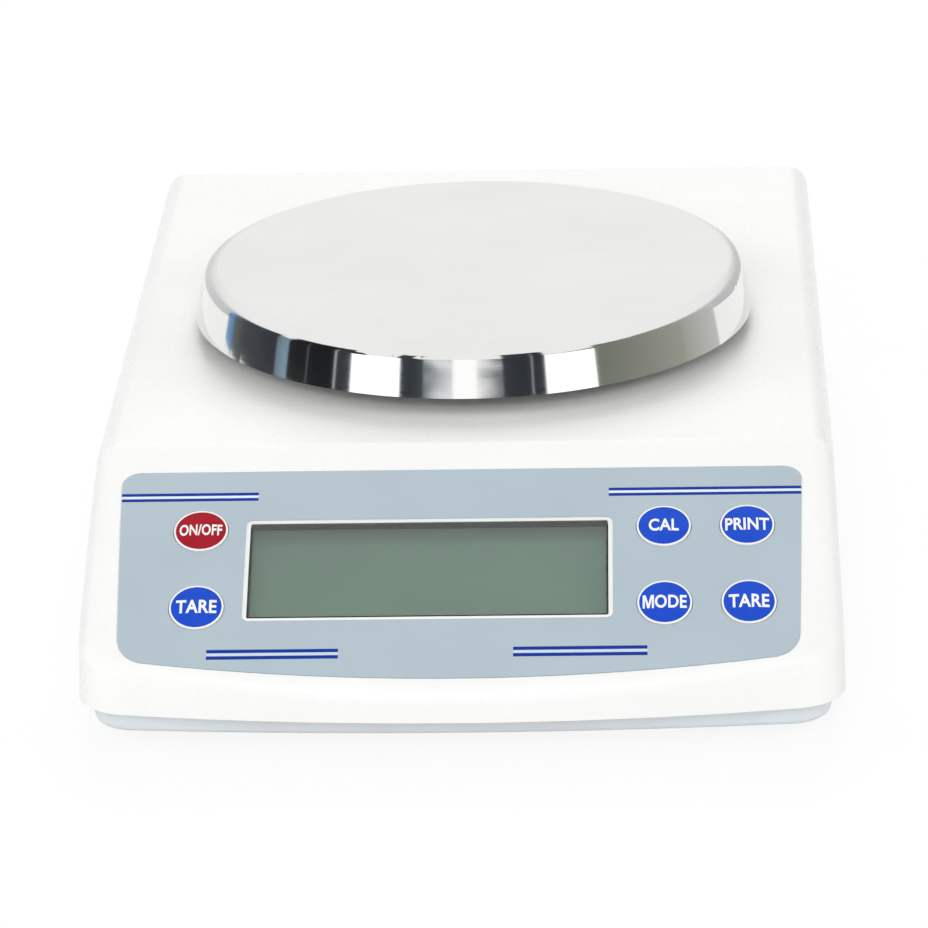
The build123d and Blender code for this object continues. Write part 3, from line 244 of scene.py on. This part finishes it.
def pan_steel():
    """Pressed stainless steel: a brushed satin top, and a skirt polished bright, with marks round it."""
    material, tree, shader, place = start_material("pressed_stainless_steel", Metallic=1.0)
    height = add(tree, "ShaderNodeSeparateXYZ", {"Vector": place}).outputs["Z"]
    across = add(tree, "ShaderNodeMapping", {"Vector": place, "Scale": BRUSHED_ACROSS})
    brushing = {"Vector": across, "Scale": 1 / (BRUSH_MARKS * MM), "Detail": 3.0}
    brushed = add(tree, "ShaderNodeTexNoise", brushing)
    # The skirt's marks run round it, and differ only with height
    upright = add(tree, "ShaderNodeCombineXYZ", {"Z": height})
    drawing = {"Vector": upright, "Scale": 1 / (SKIRT_MARKS * MM), "Detail": 3.0}
    drawn = add(tree, "ShaderNodeTexNoise", drawing)
    polish_start = pan_high.z - PAN_POLISH_START * MM
    satin_end = pan_high.z - PAN_SATIN_END * MM
    limits = {"Value": height, "From Min": polish_start, "From Max": satin_end}
    top = add(tree, "ShaderNodeMapRange", limits)
    satin = {"Value": brushed, "To Min": SATIN_SMOOTH, "To Max": SATIN_DULL, **NOISE_RANGE}
    satin_rough = add(tree, "ShaderNodeMapRange", satin)
    polish = {"Value": drawn, "To Min": POLISH_SMOOTH, "To Max": POLISH_DULL, **NOISE_RANGE}
    polish_rough = add(tree, "ShaderNodeMapRange", polish)
    rough = add(tree, "ShaderNodeMix", {0: top, 2: polish_rough, 3: satin_rough}, data_type="FLOAT")
    marks = add(tree, "ShaderNodeMix", {0: top, 2: drawn, 3: brushed}, data_type="FLOAT")
    bump = add(tree, "ShaderNodeBump", {"Height": marks, "Distance": PAN_MARK_DEPTH * MM, "Strength": 1.0})
    steel = mottled(tree, place, "#E9E9E7", "#ECECEA", size=30.0)
    connect(tree, shader, {"Base Color": steel, "Roughness": rough, "Normal": bump})
    return material


def panel_place(tree, place):
    """The arc length down the panel from its fold, and the place across it, in metres."""
    parts = add(tree, "ShaderNodeSeparateXYZ", {"Vector": place}).outputs
    forward = add(tree, "ShaderNodeMath", {0: PANEL_AXIS_Y * MM, 1: parts["Y"]}, operation="SUBTRACT")
    upward = add(tree, "ShaderNodeMath", {0: parts["Z"], 1: PANEL_AXIS_Z * MM}, operation="SUBTRACT")
    tilt = add(tree, "ShaderNodeMath", {0: forward, 1: upward}, operation="ARCTAN2")
    turn = add(tree, "ShaderNodeMath", {0: tilt, 1: PANEL_SLOPE}, operation="SUBTRACT")
    down = add(tree, "ShaderNodeMath", {0: turn, 1: PANEL_RADIUS * MM}, operation="MULTIPLY")
    return down, parts["X"]


# Printed stripes: left end, right end and arc length of the middle in millimetres, and whiteness within
STRIPES = [
    (-95.0, -54.8, 21.0, 1.0),
    (39.3, 95.0, 20.7, 1.0),
    (-66.45, -31.8, 76.15, 0.55),
    (14.1, 49.3, 76.1, 0.55),
]
# Width of each of a stripe's two lines, and the step from one line's middle to the other's
STRIPE_LINE = 1.1
STRIPE_STEP = 2.05


def overlay_film():
    """Screen-printed polycarbonate film: pale blue-grey ink, velvety, with four pairs of blue lines."""
    material, tree, shader, place = start_material("printed_polycarbonate_film", Specular_IOR_Level=0.2)
    down, across = panel_place(tree, place)
    near = (STRIPE_STEP - STRIPE_LINE) / 2 * MM
    far = (STRIPE_STEP + STRIPE_LINE) / 2 * MM
    ink = mottled(tree, place, "#B0BEC7", "#B4C2CB", size=30.0)
    for left, right, middle, white in STRIPES:
        along = between(tree, across, left * MM, right * MM)
        offset = add(tree, "ShaderNodeMath", {0: down, 1: middle * MM}, operation="SUBTRACT")
        apart = add(tree, "ShaderNodeMath", {0: offset}, operation="ABSOLUTE")
        within = add(tree, "ShaderNodeMath", {0: apart, 1: near}, operation="LESS_THAN")
        strip = add(tree, "ShaderNodeMath", {0: along, 1: within}, operation="MULTIPLY")
        share = add(tree, "ShaderNodeMath", {0: strip, 1: white}, operation="MULTIPLY")
        paler = {"Factor": share, "A": ink, "B": colour("#E3ECF8")}
        ink = add(tree, "ShaderNodeMix", paler, data_type="RGBA")
        lines = between(tree, apart, near, far)
        line = add(tree, "ShaderNodeMath", {0: along, 1: lines}, operation="MULTIPLY")
        bluer = {"Factor": line, "A": ink, "B": colour("#0B3394")}
        ink = add(tree, "ShaderNodeMix", bluer, data_type="RGBA")
    connect(tree, shader, {"Base Color": ink})
    grained(tree, shader, place, size=0.45, depth=0.006, smooth=0.38, dull=0.5)
    return material


def key_tilt(row):
    """The panel's slope at an arc length down it."""
    return PANEL_SLOPE + row / PANEL_RADIUS


def key_plane(column, row):
    """The matrix that carries a drawing in millimetres to a place on the panel, in metres."""
    tilt = key_tilt(row)
    place = (column, PANEL_AXIS_Y - PANEL_RADIUS * sin(tilt), PANEL_AXIS_Z + PANEL_RADIUS * cos(tilt))
    return Matrix.Translation(Vector(place) * MM) @ Matrix.Rotation(tilt, 4, "X") @ Matrix.Scale(MM, 4)


# Distances from a key's middle at which its colour ends and its white rim begins, in millimetres
KEY_COLOUR_END = 6.7
KEY_RIM_START = 6.78


def key_cap(name, low, high):
    """Two-shot moulded key: a coloured, satin crown inside a white rim, centred on its own key."""
    column, row = KEYS[name][:2]
    material, tree, shader, place = start_material("two_shot_" + name, Specular_IOR_Level=0.1)
    middle = key_plane(column, row).translation
    centred = add(tree, "ShaderNodeVectorMath", {0: place, 1: middle}, operation="SUBTRACT")
    turned = add(tree, "ShaderNodeMapping", {"Vector": centred, "Rotation": (-key_tilt(row), 0, 0)})
    parts = add(tree, "ShaderNodeSeparateXYZ", {"Vector": turned}).outputs
    flat = add(tree, "ShaderNodeCombineXYZ", {"X": parts["X"], "Y": parts["Y"]})
    away = add(tree, "ShaderNodeVectorMath", {0: flat}, operation="LENGTH")
    limits = {"Value": away, "From Min": KEY_COLOUR_END * MM, "From Max": KEY_RIM_START * MM}
    rim = add(tree, "ShaderNodeMapRange", limits)
    shades = {"Factor": rim, "A": mottled(tree, place, low, high, size=6.0), "B": colour("#F3F4F2")}
    connect(tree, shader, {"Base Color": add(tree, "ShaderNodeMix", shades, data_type="RGBA")})
    grained(tree, shader, place, size=0.5, depth=0.005, smooth=0.34, dull=0.42)
    return material


# Width of the smears on a clear sheet in millimetres, and how much duller they make it
SMEAR = 9.0
SMEAR_DULLER = 0.03


def clear_sheet(name, tone, smooth, ior):
    """A clear sheet that lets light through to what lies behind it, with its own gloss."""
    clear = {"IOR": ior, "Transmission_Weight": 1.0, "Specular_IOR_Level": 0.2}
    material, tree, shader, place = start_material(name, Base_Color=colour(tone), **clear)
    wavering_gloss(tree, shader, place, SMEAR, smooth, smooth + SMEAR_DULLER, detail=4.0)
    passing = add(tree, "ShaderNodeBsdfTransparent", {"Color": colour(tone)})
    shadow = add(tree, "ShaderNodeLightPath").outputs["Is Shadow Ray"]
    both = add(tree, "ShaderNodeMixShader", {0: shadow, 1: shader, 2: passing})
    connect(tree, tree.nodes["Material Output"], {"Surface": both})
    return material


# Where the display comes out from the painted shade of its frame, down the panel and across it, and how
# wide the painted shade's soft edge is each way, in millimetres
GLASS_SHADE_TOP = 34.0
GLASS_SHADE_LEFT = -56.0
SHADE_EDGE_TOP = 3.5
SHADE_EDGE_LEFT = 5.0
# How lit the painted shade leaves the display at its left end, where 1 is fully lit
SHADE_LEFT_LIT = 0.7


def display_glass():
    """Reflective liquid-crystal cell at rest: grey-green, with the frame's shade painted darker along its
    top and left.
    """
    material, tree, shader, place = start_material("laminated_lcd_glass", IOR=1.5, Specular_IOR_Level=0.1)
    down, across = panel_place(tree, place)
    top, top_end = GLASS_SHADE_TOP * MM, (GLASS_SHADE_TOP + SHADE_EDGE_TOP) * MM
    below_top = add(tree, "ShaderNodeMapRange", {"Value": down, "From Min": top, "From Max": top_end})
    left, left_end = GLASS_SHADE_LEFT * MM, (GLASS_SHADE_LEFT + SHADE_EDGE_LEFT) * MM
    limits = {"Value": across, "From Min": left, "From Max": left_end, "To Min": SHADE_LEFT_LIT}
    from_left = add(tree, "ShaderNodeMapRange", limits)
    lit = add(tree, "ShaderNodeMath", {0: below_top, 1: from_left}, operation="MINIMUM")
    cell = mottled(tree, place, "#64796C", "#687D70", size=35.0)
    # The darker tone is the frame's shade, painted along the glass's top and left edges
    tones = {"Factor": lit, "A": colour("#58665C"), "B": cell}
    connect(tree, shader, {"Base Color": add(tree, "ShaderNodeMix", tones, data_type="RGBA")})
    wavering_gloss(tree, shader, place, size=1.5, smooth=0.42, dull=0.5)
    return material


# Scale of a board's net of copper tracks, at which its fields are 3.6 mm wide and 1.8 mm high, half a
# track's width at that scale, and the share of a field by which every second row is shifted
TRACK_SCALE = 140.0
TRACK_HALF = 0.06
TRACK_SHIFT = 0.37
# Height of the tracks under the mask, in millimetres
TRACK_HEIGHT = 0.03


def circuit_board():
    """Glass-epoxy board: green solder mask over copper tracks that show as a paler, raised net."""
    material, tree, shader, place = start_material("etched_glass_epoxy")
    fields = {"Vector": place, "Scale": TRACK_SCALE, "Mortar Size": TRACK_HALF}
    tracks = add(tree, "ShaderNodeTexBrick", fields, offset=TRACK_SHIFT).outputs["Fac"]
    greens = {"Factor": tracks, "A": colour("#1D5B38"), "B": colour("#2E7A4C")}
    mask = add(tree, "ShaderNodeMix", greens, data_type="RGBA")
    bump = add(tree, "ShaderNodeBump", {"Height": tracks, "Distance": TRACK_HEIGHT * MM, "Strength": 1.0})
    connect(tree, shader, {"Base Color": mask, "Normal": bump})
    wavering_gloss(tree, shader, place, size=0.5, smooth=0.3, dull=0.4)
    return material


def level_liquid():
    """Dyed alcohol of the bubble level: bright yellow-green, with a wet gloss."""
    material, tree, shader, place = start_material("dyed_alcohol", IOR=1.36, Transmission_Weight=0.25)
    connect(tree, shader, {"Base Color": mottled(tree, place, "#BFD63A", "#CBE04A", size=4.0)})
    wavering_gloss(tree, shader, place, size=2.0, smooth=0.03, dull=0.06)
    return material


# Cast acrylic of the display's window, and the polished lens of the level: both clear, with hardly a tint
window_clear = clear_sheet("cast_clear_acrylic", "#F4F8F6", smooth=0.02, ior=1.49)
level_clear = clear_sheet("polished_level_lens", "#F6F9F6", smooth=0.01, ior=1.49)
board_epoxy = circuit_board()

MATERIALS = {
    "top_cover": white_abs, "base_tray": grey_abs, "panel_overlay": overlay_film(),
    "lcd_window": window_clear, "lcd_gasket": black_foam, "lcd_glass": display_glass(),
    "lcd_holder": frame_plastic, "lcd_reflector": reflector_film, "lcd_contact_strips": zebra_rubber,
    "display_board": board_epoxy, "display_board_screws": zinc_steel, "key_switches": chip_epoxy,
    "main_board": board_epoxy, "main_board_parts": chip_epoxy, "main_board_screws": zinc_steel,
    "shield_can": tinned_steel, "ribbon_cable": cable_pvc, "load_cell_lead": cable_pvc,
    "load_cell_mount": milled_aluminium, "load_cell": milled_aluminium, "load_cell_screws": zinc_steel,
    "overload_stop": zinc_steel, "level_bezel": socket_plastic, "level_cup": vial_acrylic,
    "level_fluid": level_liquid(), "level_lens": level_clear, "dc_jack": socket_plastic,
    "dc_jack_pin": contact_metal, "serial_shell": tinned_steel, "serial_insulator": socket_plastic,
    "serial_legs": tinned_steel, "serial_jackscrews": zinc_steel, "cover_screws": zinc_steel,
    "foot_inserts": turned_brass, "carrier_spacer": milled_aluminium, "carrier_plate": milled_aluminium,
    "carrier_screws": zinc_steel, "carrier_post": milled_aluminium, "pan_support": cast_aluminium,
    "support_screw": zinc_steel, "pan_cushions": soft_rubber, "weighing_pan": pan_steel(),
}
for name in KEYS:
    shades = ("#9E1A28", "#A31E2B") if name == "key_on_off" else ("#1F4CC6", "#2450CB")
    MATERIALS[name] = key_cap(name, *shades)

for name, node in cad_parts.items():
    if name.startswith("foot_wheel"):
        material = black_nylon
    elif name.startswith("foot_pad"):
        material = soft_rubber
    else:
        material = MATERIALS[name]
    node.data.materials.clear()
    node.data.materials.append(material)


# Lettering on the keys

# Pad-printed white ink: opaque, slightly raised and satin
key_ink = plastic("pad_printed_white_ink", "#F2F3F1", "#F7F7F5", 0.4, grain=0.3, depth=0.004, mottle=2.0)
# How far the ink stands above the key, and reaches into it, in millimetres
INK = 0.03
# How much the typeface's strokes are thickened, how widely it is set and the steps in its curves
LETTER_THICKER = 0.026
LETTER_SPREAD = 1.04
CURVE_STEPS = 6
# Half the depth of a letter before it is laid on its key, and the gap after a drawn M, in letter units
LETTER_DEPTH = 0.5
LETTER_SPACE = 0.06
# Corners closer than this are merged, and cuts this close to a corner go through it
MERGE = 0.0001


def crown_height(x, y):
    """Height of a key's crown above the panel, in millimetres."""
    ball = (KEY_RADIUS**2 + KEY_CROWN**2) / (2 * KEY_CROWN)
    return KEY_EDGE + KEY_CROWN - ball + sqrt(ball**2 - x * x - y * y)


def capital_m(bm, right, low, high):
    """A bold M before a word, in letter units: the typeface's own closes up when it is thickened."""
    width, stroke, valley, armpit = 0.74, 0.14, 0.32, 0.7
    half, slanted = width / 2, 1.4 * stroke
    shape = [(0, 0), (stroke, 0), (stroke, armpit), (half - stroke / 2, 0), (half + stroke / 2, 0)]
    shape += [(width - stroke, armpit), (width - stroke, 0), (width, 0), (width, 1)]
    shape += [(width - slanted, 1), (half, valley), (slanted, 1), (0, 1)]
    left, tall = right - width, high - low
    verts = [bm.verts.new((left + x, low + y * tall, -LETTER_DEPTH)) for x, y in shape]
    front = bmesh.ops.extrude_face_region(bm, geom=[bm.faces.new(verts)])
    raised = [item for item in front["geom"] if isinstance(item, bmesh.types.BMVert)]
    bmesh.ops.translate(bm, verts=raised, vec=(0, 0, 2 * LETTER_DEPTH))
    bmesh.ops.recalc_face_normals(bm, faces=bm.faces)


def typeset(name, word):
    """A word in a plain typeface, as a solid mesh in letter units."""
    curve = bpy.data.curves.new("word_" + name, "FONT")
    curve.body = word
    curve.offset = LETTER_THICKER
    curve.space_character = LETTER_SPREAD
    curve.extrude = LETTER_DEPTH
    curve.resolution_u = CURVE_STEPS
    drawn = bpy.data.objects.new("word_flat", curve)
    scene.collection.objects.link(drawn)
    mesh = bpy.data.meshes.new_from_object(drawn.evaluated_get(bpy.context.evaluated_depsgraph_get()))
    bpy.data.objects.remove(drawn)
    return mesh


def lettering(name):
    """A key's word as raised ink that follows the key's crown."""
    column, row, word, width, height = KEYS[name]
    mesh = typeset(name, word.lstrip("M"))
    xs = [v.co.x for v in mesh.vertices]
    ys = [v.co.y for v in mesh.vertices]
    bm = bmesh.new()
    bm.from_mesh(mesh)
    if word.startswith("M"):
        capital_m(bm, min(xs) - LETTER_SPACE, min(ys), max(ys))
        xs.append(min(v.co.x for v in bm.verts))
    wide, tall = max(xs) - min(xs), max(ys) - min(ys)
    middle_x, middle_y = (max(xs) + min(xs)) / 2, (max(ys) + min(ys)) / 2
    bmesh.ops.remove_doubles(bm, verts=bm.verts, dist=MERGE)
    for vert in bm.verts:
        vert.co.x = (vert.co.x - middle_x) * width / wide
        vert.co.y = (vert.co.y - middle_y) * height / tall
    # Cuts at every millimetre let the letters follow the crown
    for normal, reach in (((1, 0, 0), width / 2), ((0, 1, 0), height / 2)):
        for step in range(-int(reach), int(reach) + 1):
            parts = bm.verts[:] + bm.edges[:] + bm.faces[:]
            cut = Vector(normal) * step
            bmesh.ops.bisect_plane(bm, geom=parts, dist=MERGE, plane_co=cut, plane_no=normal)
    for vert in bm.verts:
        lift = INK if vert.co.z > 0 else -INK
        vert.co.z = crown_height(vert.co.x, vert.co.y) + lift
    bmesh.ops.transform(bm, matrix=key_plane(column, row), verts=bm.verts)
    bm.to_mesh(mesh)
    bm.free()
    piece = bpy.data.objects.new("legend_" + name, mesh)
    scene.collection.objects.link(piece)
    mesh.materials.clear()
    mesh.materials.append(key_ink)
    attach(piece, name)


for name in KEYS:
    lettering(name)


# The mark of the level

# Printed black ink: dull, in a layer too thin to stand out
mark_ink = plastic("printed_black_ink", "#141516", "#1C1D1E", 0.5, grain=0.3, depth=0.002, mottle=2.0)
# Radii and thickness of the printed ring, and the distance at which its seam is merged, in millimetres
MARK_INNER = 3.9
MARK_OUTER = 4.25
MARK_SHEET = 0.04
MARK_MERGE = 0.0005
# Flats round the ring
MARK_STEPS = 64


def level_mark():
    """The ring printed on the level's lens, in which the bubble is centred."""
    bm = bmesh.new()
    low, high = -MARK_SHEET / 2, MARK_SHEET / 2
    corners = ((MARK_INNER, low), (MARK_OUTER, low), (MARK_OUTER, high), (MARK_INNER, high))
    section = [bm.verts.new((reach, 0, height)) for reach, height in corners]
    edges = [bm.edges.new((section[i], section[(i + 1) % 4])) for i in range(4)]
    turn = {"cent": (0, 0, 0), "axis": (0, 0, 1), "angle": 2 * pi, "steps": MARK_STEPS}
    bmesh.ops.spin(bm, geom=section + edges, use_merge=True, use_duplicate=False, **turn)
    bmesh.ops.remove_doubles(bm, verts=bm.verts, dist=MARK_MERGE)
    bmesh.ops.recalc_face_normals(bm, faces=bm.faces)
    on_lens = Matrix.Translation((0, lens_middle, lens_high.z)) @ Matrix.Scale(MM, 4)
    bmesh.ops.transform(bm, matrix=on_lens, verts=bm.verts)
    mesh = bpy.data.meshes.new("level_mark")
    bm.to_mesh(mesh)
    bm.free()
    mesh.materials.append(mark_ink)
    piece = bpy.data.objects.new("level_mark", mesh)
    scene.collection.objects.link(piece)
    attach(piece, "housing")


level_mark()


# Studio

# How strongly the paper glows, and how much of the lamps' light and shadow it adds, where it is seen
PAPER_GLOW = 0.88
PAPER_SHADOW = 0.12
# How pale the paper is to the light that it passes on to the object
PAPER_WHITE = 0.8
# Half the floor's width, in metres
FLOOR_HALF = 6.0
# The sky's strength as a light on the object
SKY_LIGHT = 0.33


def seen(tree):
    """1 for the rays of the camera and of glossy and clear surfaces, and 0 for the rest."""
    path = add(tree, "ShaderNodeLightPath").outputs
    share = path["Is Camera Ray"]
    for rays in ("Is Glossy Ray", "Is Transmission Ray"):
        share = add(tree, "ShaderNodeMath", {0: share, 1: path[rays]}, operation="MAXIMUM")
    return share


def bare_material(name):
    """A material with an empty tree, for what belongs to the studio."""
    material = bpy.data.materials.new(name)
    material.use_nodes = True
    material.node_tree.nodes.clear()
    return material, material.node_tree


def floor_paper():
    """White paper that shows as its own light, and takes a share of the lamps' light and shadow."""
    material, tree = bare_material("studio_paper")
    glow = add(tree, "ShaderNodeEmission", {"Color": colour("#FFFFFF"), "Strength": PAPER_GLOW})
    shaded = add(tree, "ShaderNodeBsdfDiffuse", {"Color": [PAPER_SHADOW] * 3 + [1]})
    shown = add(tree, "ShaderNodeAddShader", {0: glow, 1: shaded})
    plain = add(tree, "ShaderNodeBsdfDiffuse", {"Color": [PAPER_WHITE] * 3 + [1]})
    both = add(tree, "ShaderNodeMixShader", {0: seen(tree), 1: plain, 2: shown})
    add(tree, "ShaderNodeOutputMaterial", {"Surface": both})
    return material


def staged(name, bm, material):
    """A piece of the studio, made of a drawing."""
    mesh = bpy.data.meshes.new(name)
    bm.to_mesh(mesh)
    bm.free()
    mesh.materials.append(material)
    piece = bpy.data.objects.new(name, mesh)
    scene.collection.objects.link(piece)
    return piece


def studio_sky():
    """A sky that is white where it is seen, and fainter as a light on the object."""
    world = bpy.data.worlds.new("studio")
    scene.world = world
    world.use_nodes = True
    tree = world.node_tree
    tree.nodes.clear()
    strength = add(tree, "ShaderNodeMapRange", {"Value": seen(tree), "To Min": SKY_LIGHT, "To Max": 1.0})
    glow = add(tree, "ShaderNodeBackground", {"Color": [1, 1, 1, 1], "Strength": strength})
    add(tree, "ShaderNodeOutputWorld", {"Surface": glow})


floor_sheet = bmesh.new()
bmesh.ops.create_grid(floor_sheet, x_segments=1, y_segments=1, size=FLOOR_HALF)
staged("floor", floor_sheet, floor_paper())
studio_sky()

# Glowing cards round the pan, seen only in reflections, whose tones paint the skirt's reflected blocks.
# Each has the low and high azimuth in degrees in which the skirt sees it, its distance in metres, the
# elevations of its foot and head in degrees, its tones at the two ends, its brightness and its streaks
CARDS = [
    ("card_left_pale", -172, -121, 0.9, -16, 22, "#E2E4E3", "#CDD0D2", 1.0, 0.0),
    ("card_left_blue", -121, -115.5, 0.5, -9, 20, "#86A3C4", "#5B82B6", 1.0, 0.0),
    ("card_left_olive", -115.5, -108, 0.52, -8, 20, "#676E67", "#4A4F50", 1.0, 0.0),
    ("card_left_dark", -108, -86.5, 0.5, -6, 20, "#484C51", "#383B40", 1.0, 0.3),
    ("card_left_sliver", -86.5, -80, 0.48, -6, 14, "#6F7F8A", "#86A0B2", 1.0, 0.3),
    ("card_left_black", -80, -56, 1.0, -4, 26, "#232426", "#1D1E20", 1.0, 0.0),
    ("card_left_edge", -56, -49.5, 1.0, -4, 26, "#33373B", "#3C4045", 1.0, 0.0),
    ("card_left_white", -49.5, -28.5, 0.98, -4, 9, "#FFFFFF", "#FFFFFF", 1.5, 0.0),
    ("card_left_hood", -50, -28, 1.02, -4, 18, "#2B2D30", "#2B2D30", 1.0, 0.0),
    ("card_mid_left", -28.5, -19, 1.0, -4, 30, "#2B3035", "#42484E", 1.0, 0.0),
    ("card_mid_left_fade", -19, -7, 1.01, -4, 10, "#6C7479", "#F4F6F8", 1.05, 0.7),
    ("card_mid_white", -7, 2.5, 1.01, -4, 10, "#FFFFFF", "#FFFFFF", 1.2, 0.0),
    ("card_mid_right_fade", 2.5, 13, 1.01, -4, 10, "#FFFFFF", "#646A70", 1.1, 0.7),
    ("card_mid_right", 13, 30.5, 1.0, -4, 30, "#383D42", "#2B3036", 1.0, 0.0),
    ("card_right_white", 30.5, 52, 0.98, -4, 9, "#FFFFFF", "#FFFFFF", 1.5, 0.0),
    ("card_right_hood", 30, 52.5, 1.02, -4, 14, "#2B2D30", "#2B2D30", 1.0, 0.0),
    ("card_right_olive", 52, 74, 1.0, -4, 22, "#747B72", "#8B8C82", 1.0, 0.0),
    ("card_right_stone", 74, 97, 0.42, -8, 22, "#8B8C82", "#A3A499", 1.0, 0.0),
    ("card_right_fade", 97, 120, 0.4, -9, 22, "#A9ABA3", "#C9CBCA", 1.0, 0.0),
    ("card_right_pale", 120, 172, 1.0, -16, 22, "#C4C7C8", "#CCCECD", 1.0, 0.0),
    ("strip_left_first", -70.2, -69.7, 0.45, -4, 16, "#6D7074", "#6D7074", 1.0, 0.0),
    ("strip_left_second", -57.0, -56.2, 0.45, -3, 14, "#C4C7C8", "#C4C7C8", 1.0, 0.0),
    ("strip_right", 25.0, 25.5, 0.45, -4, 20, "#B4B8BA", "#B4B8BA", 1.0, 0.0),
]
# Height of a card's foot above the floor at the least, in metres, and the flats in its bend
CARD_CLEARANCE = 0.002
CARD_STEPS = 12
# Height of the streaks painted in a card's glow, in millimetres, and how far they are drawn out
STREAK = 14.0
STREAK_DRAWN_OUT = (0.04, 0.04, 1.0)


def card_azimuth(seen_azimuth, distance):
    """The azimuth round the pan of a card that the skirt sees in a given direction."""
    return radians(seen_azimuth) - asin(pan_radius / distance * sin(radians(seen_azimuth / 2)))


def card_glow(name, low, high, first, second, brightness, streaks):
    """A glow that paints the skirt's reflection: one tone at its low azimuth, shifting into another at its
    high one.
    """
    material, tree = bare_material(name)
    place = add(tree, "ShaderNodeTexCoord").outputs["Object"]
    parts = add(tree, "ShaderNodeSeparateXYZ", {"Vector": place}).outputs
    forward = add(tree, "ShaderNodeMath", {0: pan_middle, 1: parts["Y"]}, operation="SUBTRACT")
    azimuth = add(tree, "ShaderNodeMath", {0: parts["X"], 1: forward}, operation="ARCTAN2")
    share = add(tree, "ShaderNodeMapRange", {"Value": azimuth, "From Min": low, "From Max": high})
    if streaks:
        drawn_out = add(tree, "ShaderNodeMapping", {"Vector": place, "Scale": STREAK_DRAWN_OUT})
        settings = {"Vector": drawn_out, "Scale": 1 / (STREAK * MM), "Detail": 3.0}
        waves = add(tree, "ShaderNodeTexNoise", settings)
        limits = {"Value": waves, "To Min": -streaks, "To Max": streaks, **NOISE_RANGE}
        streak = add(tree, "ShaderNodeMapRange", limits)
        share = add(tree, "ShaderNodeMath", {0: share, 1: streak}, operation="ADD")
    tones = {"Factor": share, "A": colour(first), "B": colour(second)}
    tone = add(tree, "ShaderNodeMix", tones, data_type="RGBA")
    glow = add(tree, "ShaderNodeEmission", {"Color": tone, "Strength": brightness})
    add(tree, "ShaderNodeOutputMaterial", {"Surface": glow})
    return material


def card(name, seen_low, seen_high, distance, foot, head, first, second, brightness, streaks):
    """A curved upright card about the pan that glows, seen only in reflections, where it paints the skirt's
    blocks.
    """
    bm = bmesh.new()
    low, high = card_azimuth(seen_low, distance), card_azimuth(seen_high, distance)
    centre = Vector((0, pan_middle, 0))
    aim = Matrix.Translation(centre) @ Matrix.Rotation(low, 4, "Z") @ Matrix.Translation((0, -distance, 0))
    foot_height = max(CARD_CLEARANCE, pan_low.z + distance * tan(radians(foot)))
    head_height = pan_low.z + distance * tan(radians(head))
    lower = bm.verts.new(aim @ Vector((0, 0, foot_height)))
    upper = bm.verts.new(aim @ Vector((0, 0, head_height)))
    parts = [bm.edges.new((lower, upper)), lower, upper]
    bmesh.ops.spin(bm, geom=parts, cent=centre, axis=(0, 0, 1), angle=high - low, steps=CARD_STEPS)
    piece = staged(name, bm, card_glow(name, low, high, first, second, brightness, streaks))
    piece.visible_camera = False
    piece.visible_diffuse = False
    piece.visible_transmission = False
    piece.visible_volume_scatter = False
    piece.visible_shadow = False


for row in CARDS:
    card(*row)

# Softboxes: place, width in metres, watts, and the point that each faces
LAMPS = [
    ("rear_softbox", (0.0, 2.0, 1.7), 1.4, 32.5, (0, -0.05, 0.06)),
    ("top_softbox", (0.0, 0.1, 2.1), 1.2, 2.0, (0, 0, 0.05)),
    ("front_softbox", (-0.1, -2.2, 1.1), 1.2, 29.8, (0, -0.1, 0.04)),
    ("left_softbox", (-2.1, -0.2, 0.9), 1.2, 12.5, (0, 0, 0.03)),
    ("right_softbox", (2.1, -0.2, 0.9), 1.2, 12.5, (0, 0, 0.03)),
]


def lamp(name, place, width, power, target):
    """A square softbox aimed at a point, which lights the object but shows nowhere."""
    light = bpy.data.lights.new(name, "AREA")
    light.shape = "SQUARE"
    light.size = width
    light.energy = power
    softbox = bpy.data.objects.new(name, light)
    scene.collection.objects.link(softbox)
    softbox.location = place
    softbox.rotation_euler = (Vector(target) - Vector(place)).to_track_quat("-Z", "Y").to_euler()
    softbox.visible_camera = False
    softbox.visible_glossy = False
    softbox.visible_transmission = False


for row in LAMPS:
    lamp(*row)


# Camera at the photograph's angle

# Its place in metres, and its turns in radians
CAMERA_PLACE = (0.0525, -1.4753, 0.5720)
PITCH, YAW, ROLL = 0.35642, 0.03786, -0.02504
camera_data = bpy.data.cameras.new("camera")
camera_data.sensor_width = 36.0
camera_data.lens = 211.55
camera_data.clip_start = 0.1
camera_data.clip_end = 50.0
camera = bpy.data.objects.new("camera", camera_data)
scene.collection.objects.link(camera)
forward = Vector((-sin(YAW) * cos(PITCH), cos(YAW) * cos(PITCH), -sin(PITCH)))
level_right = Vector((cos(YAW), sin(YAW), 0))
level_up = level_right.cross(forward)
right = level_right * cos(ROLL) + level_up * sin(ROLL)
up = level_up * cos(ROLL) - level_right * sin(ROLL)
turned = Matrix((right, up, -forward)).transposed().to_4x4()
camera.matrix_world = Matrix.Translation(CAMERA_PLACE) @ turned
scene.camera = camera
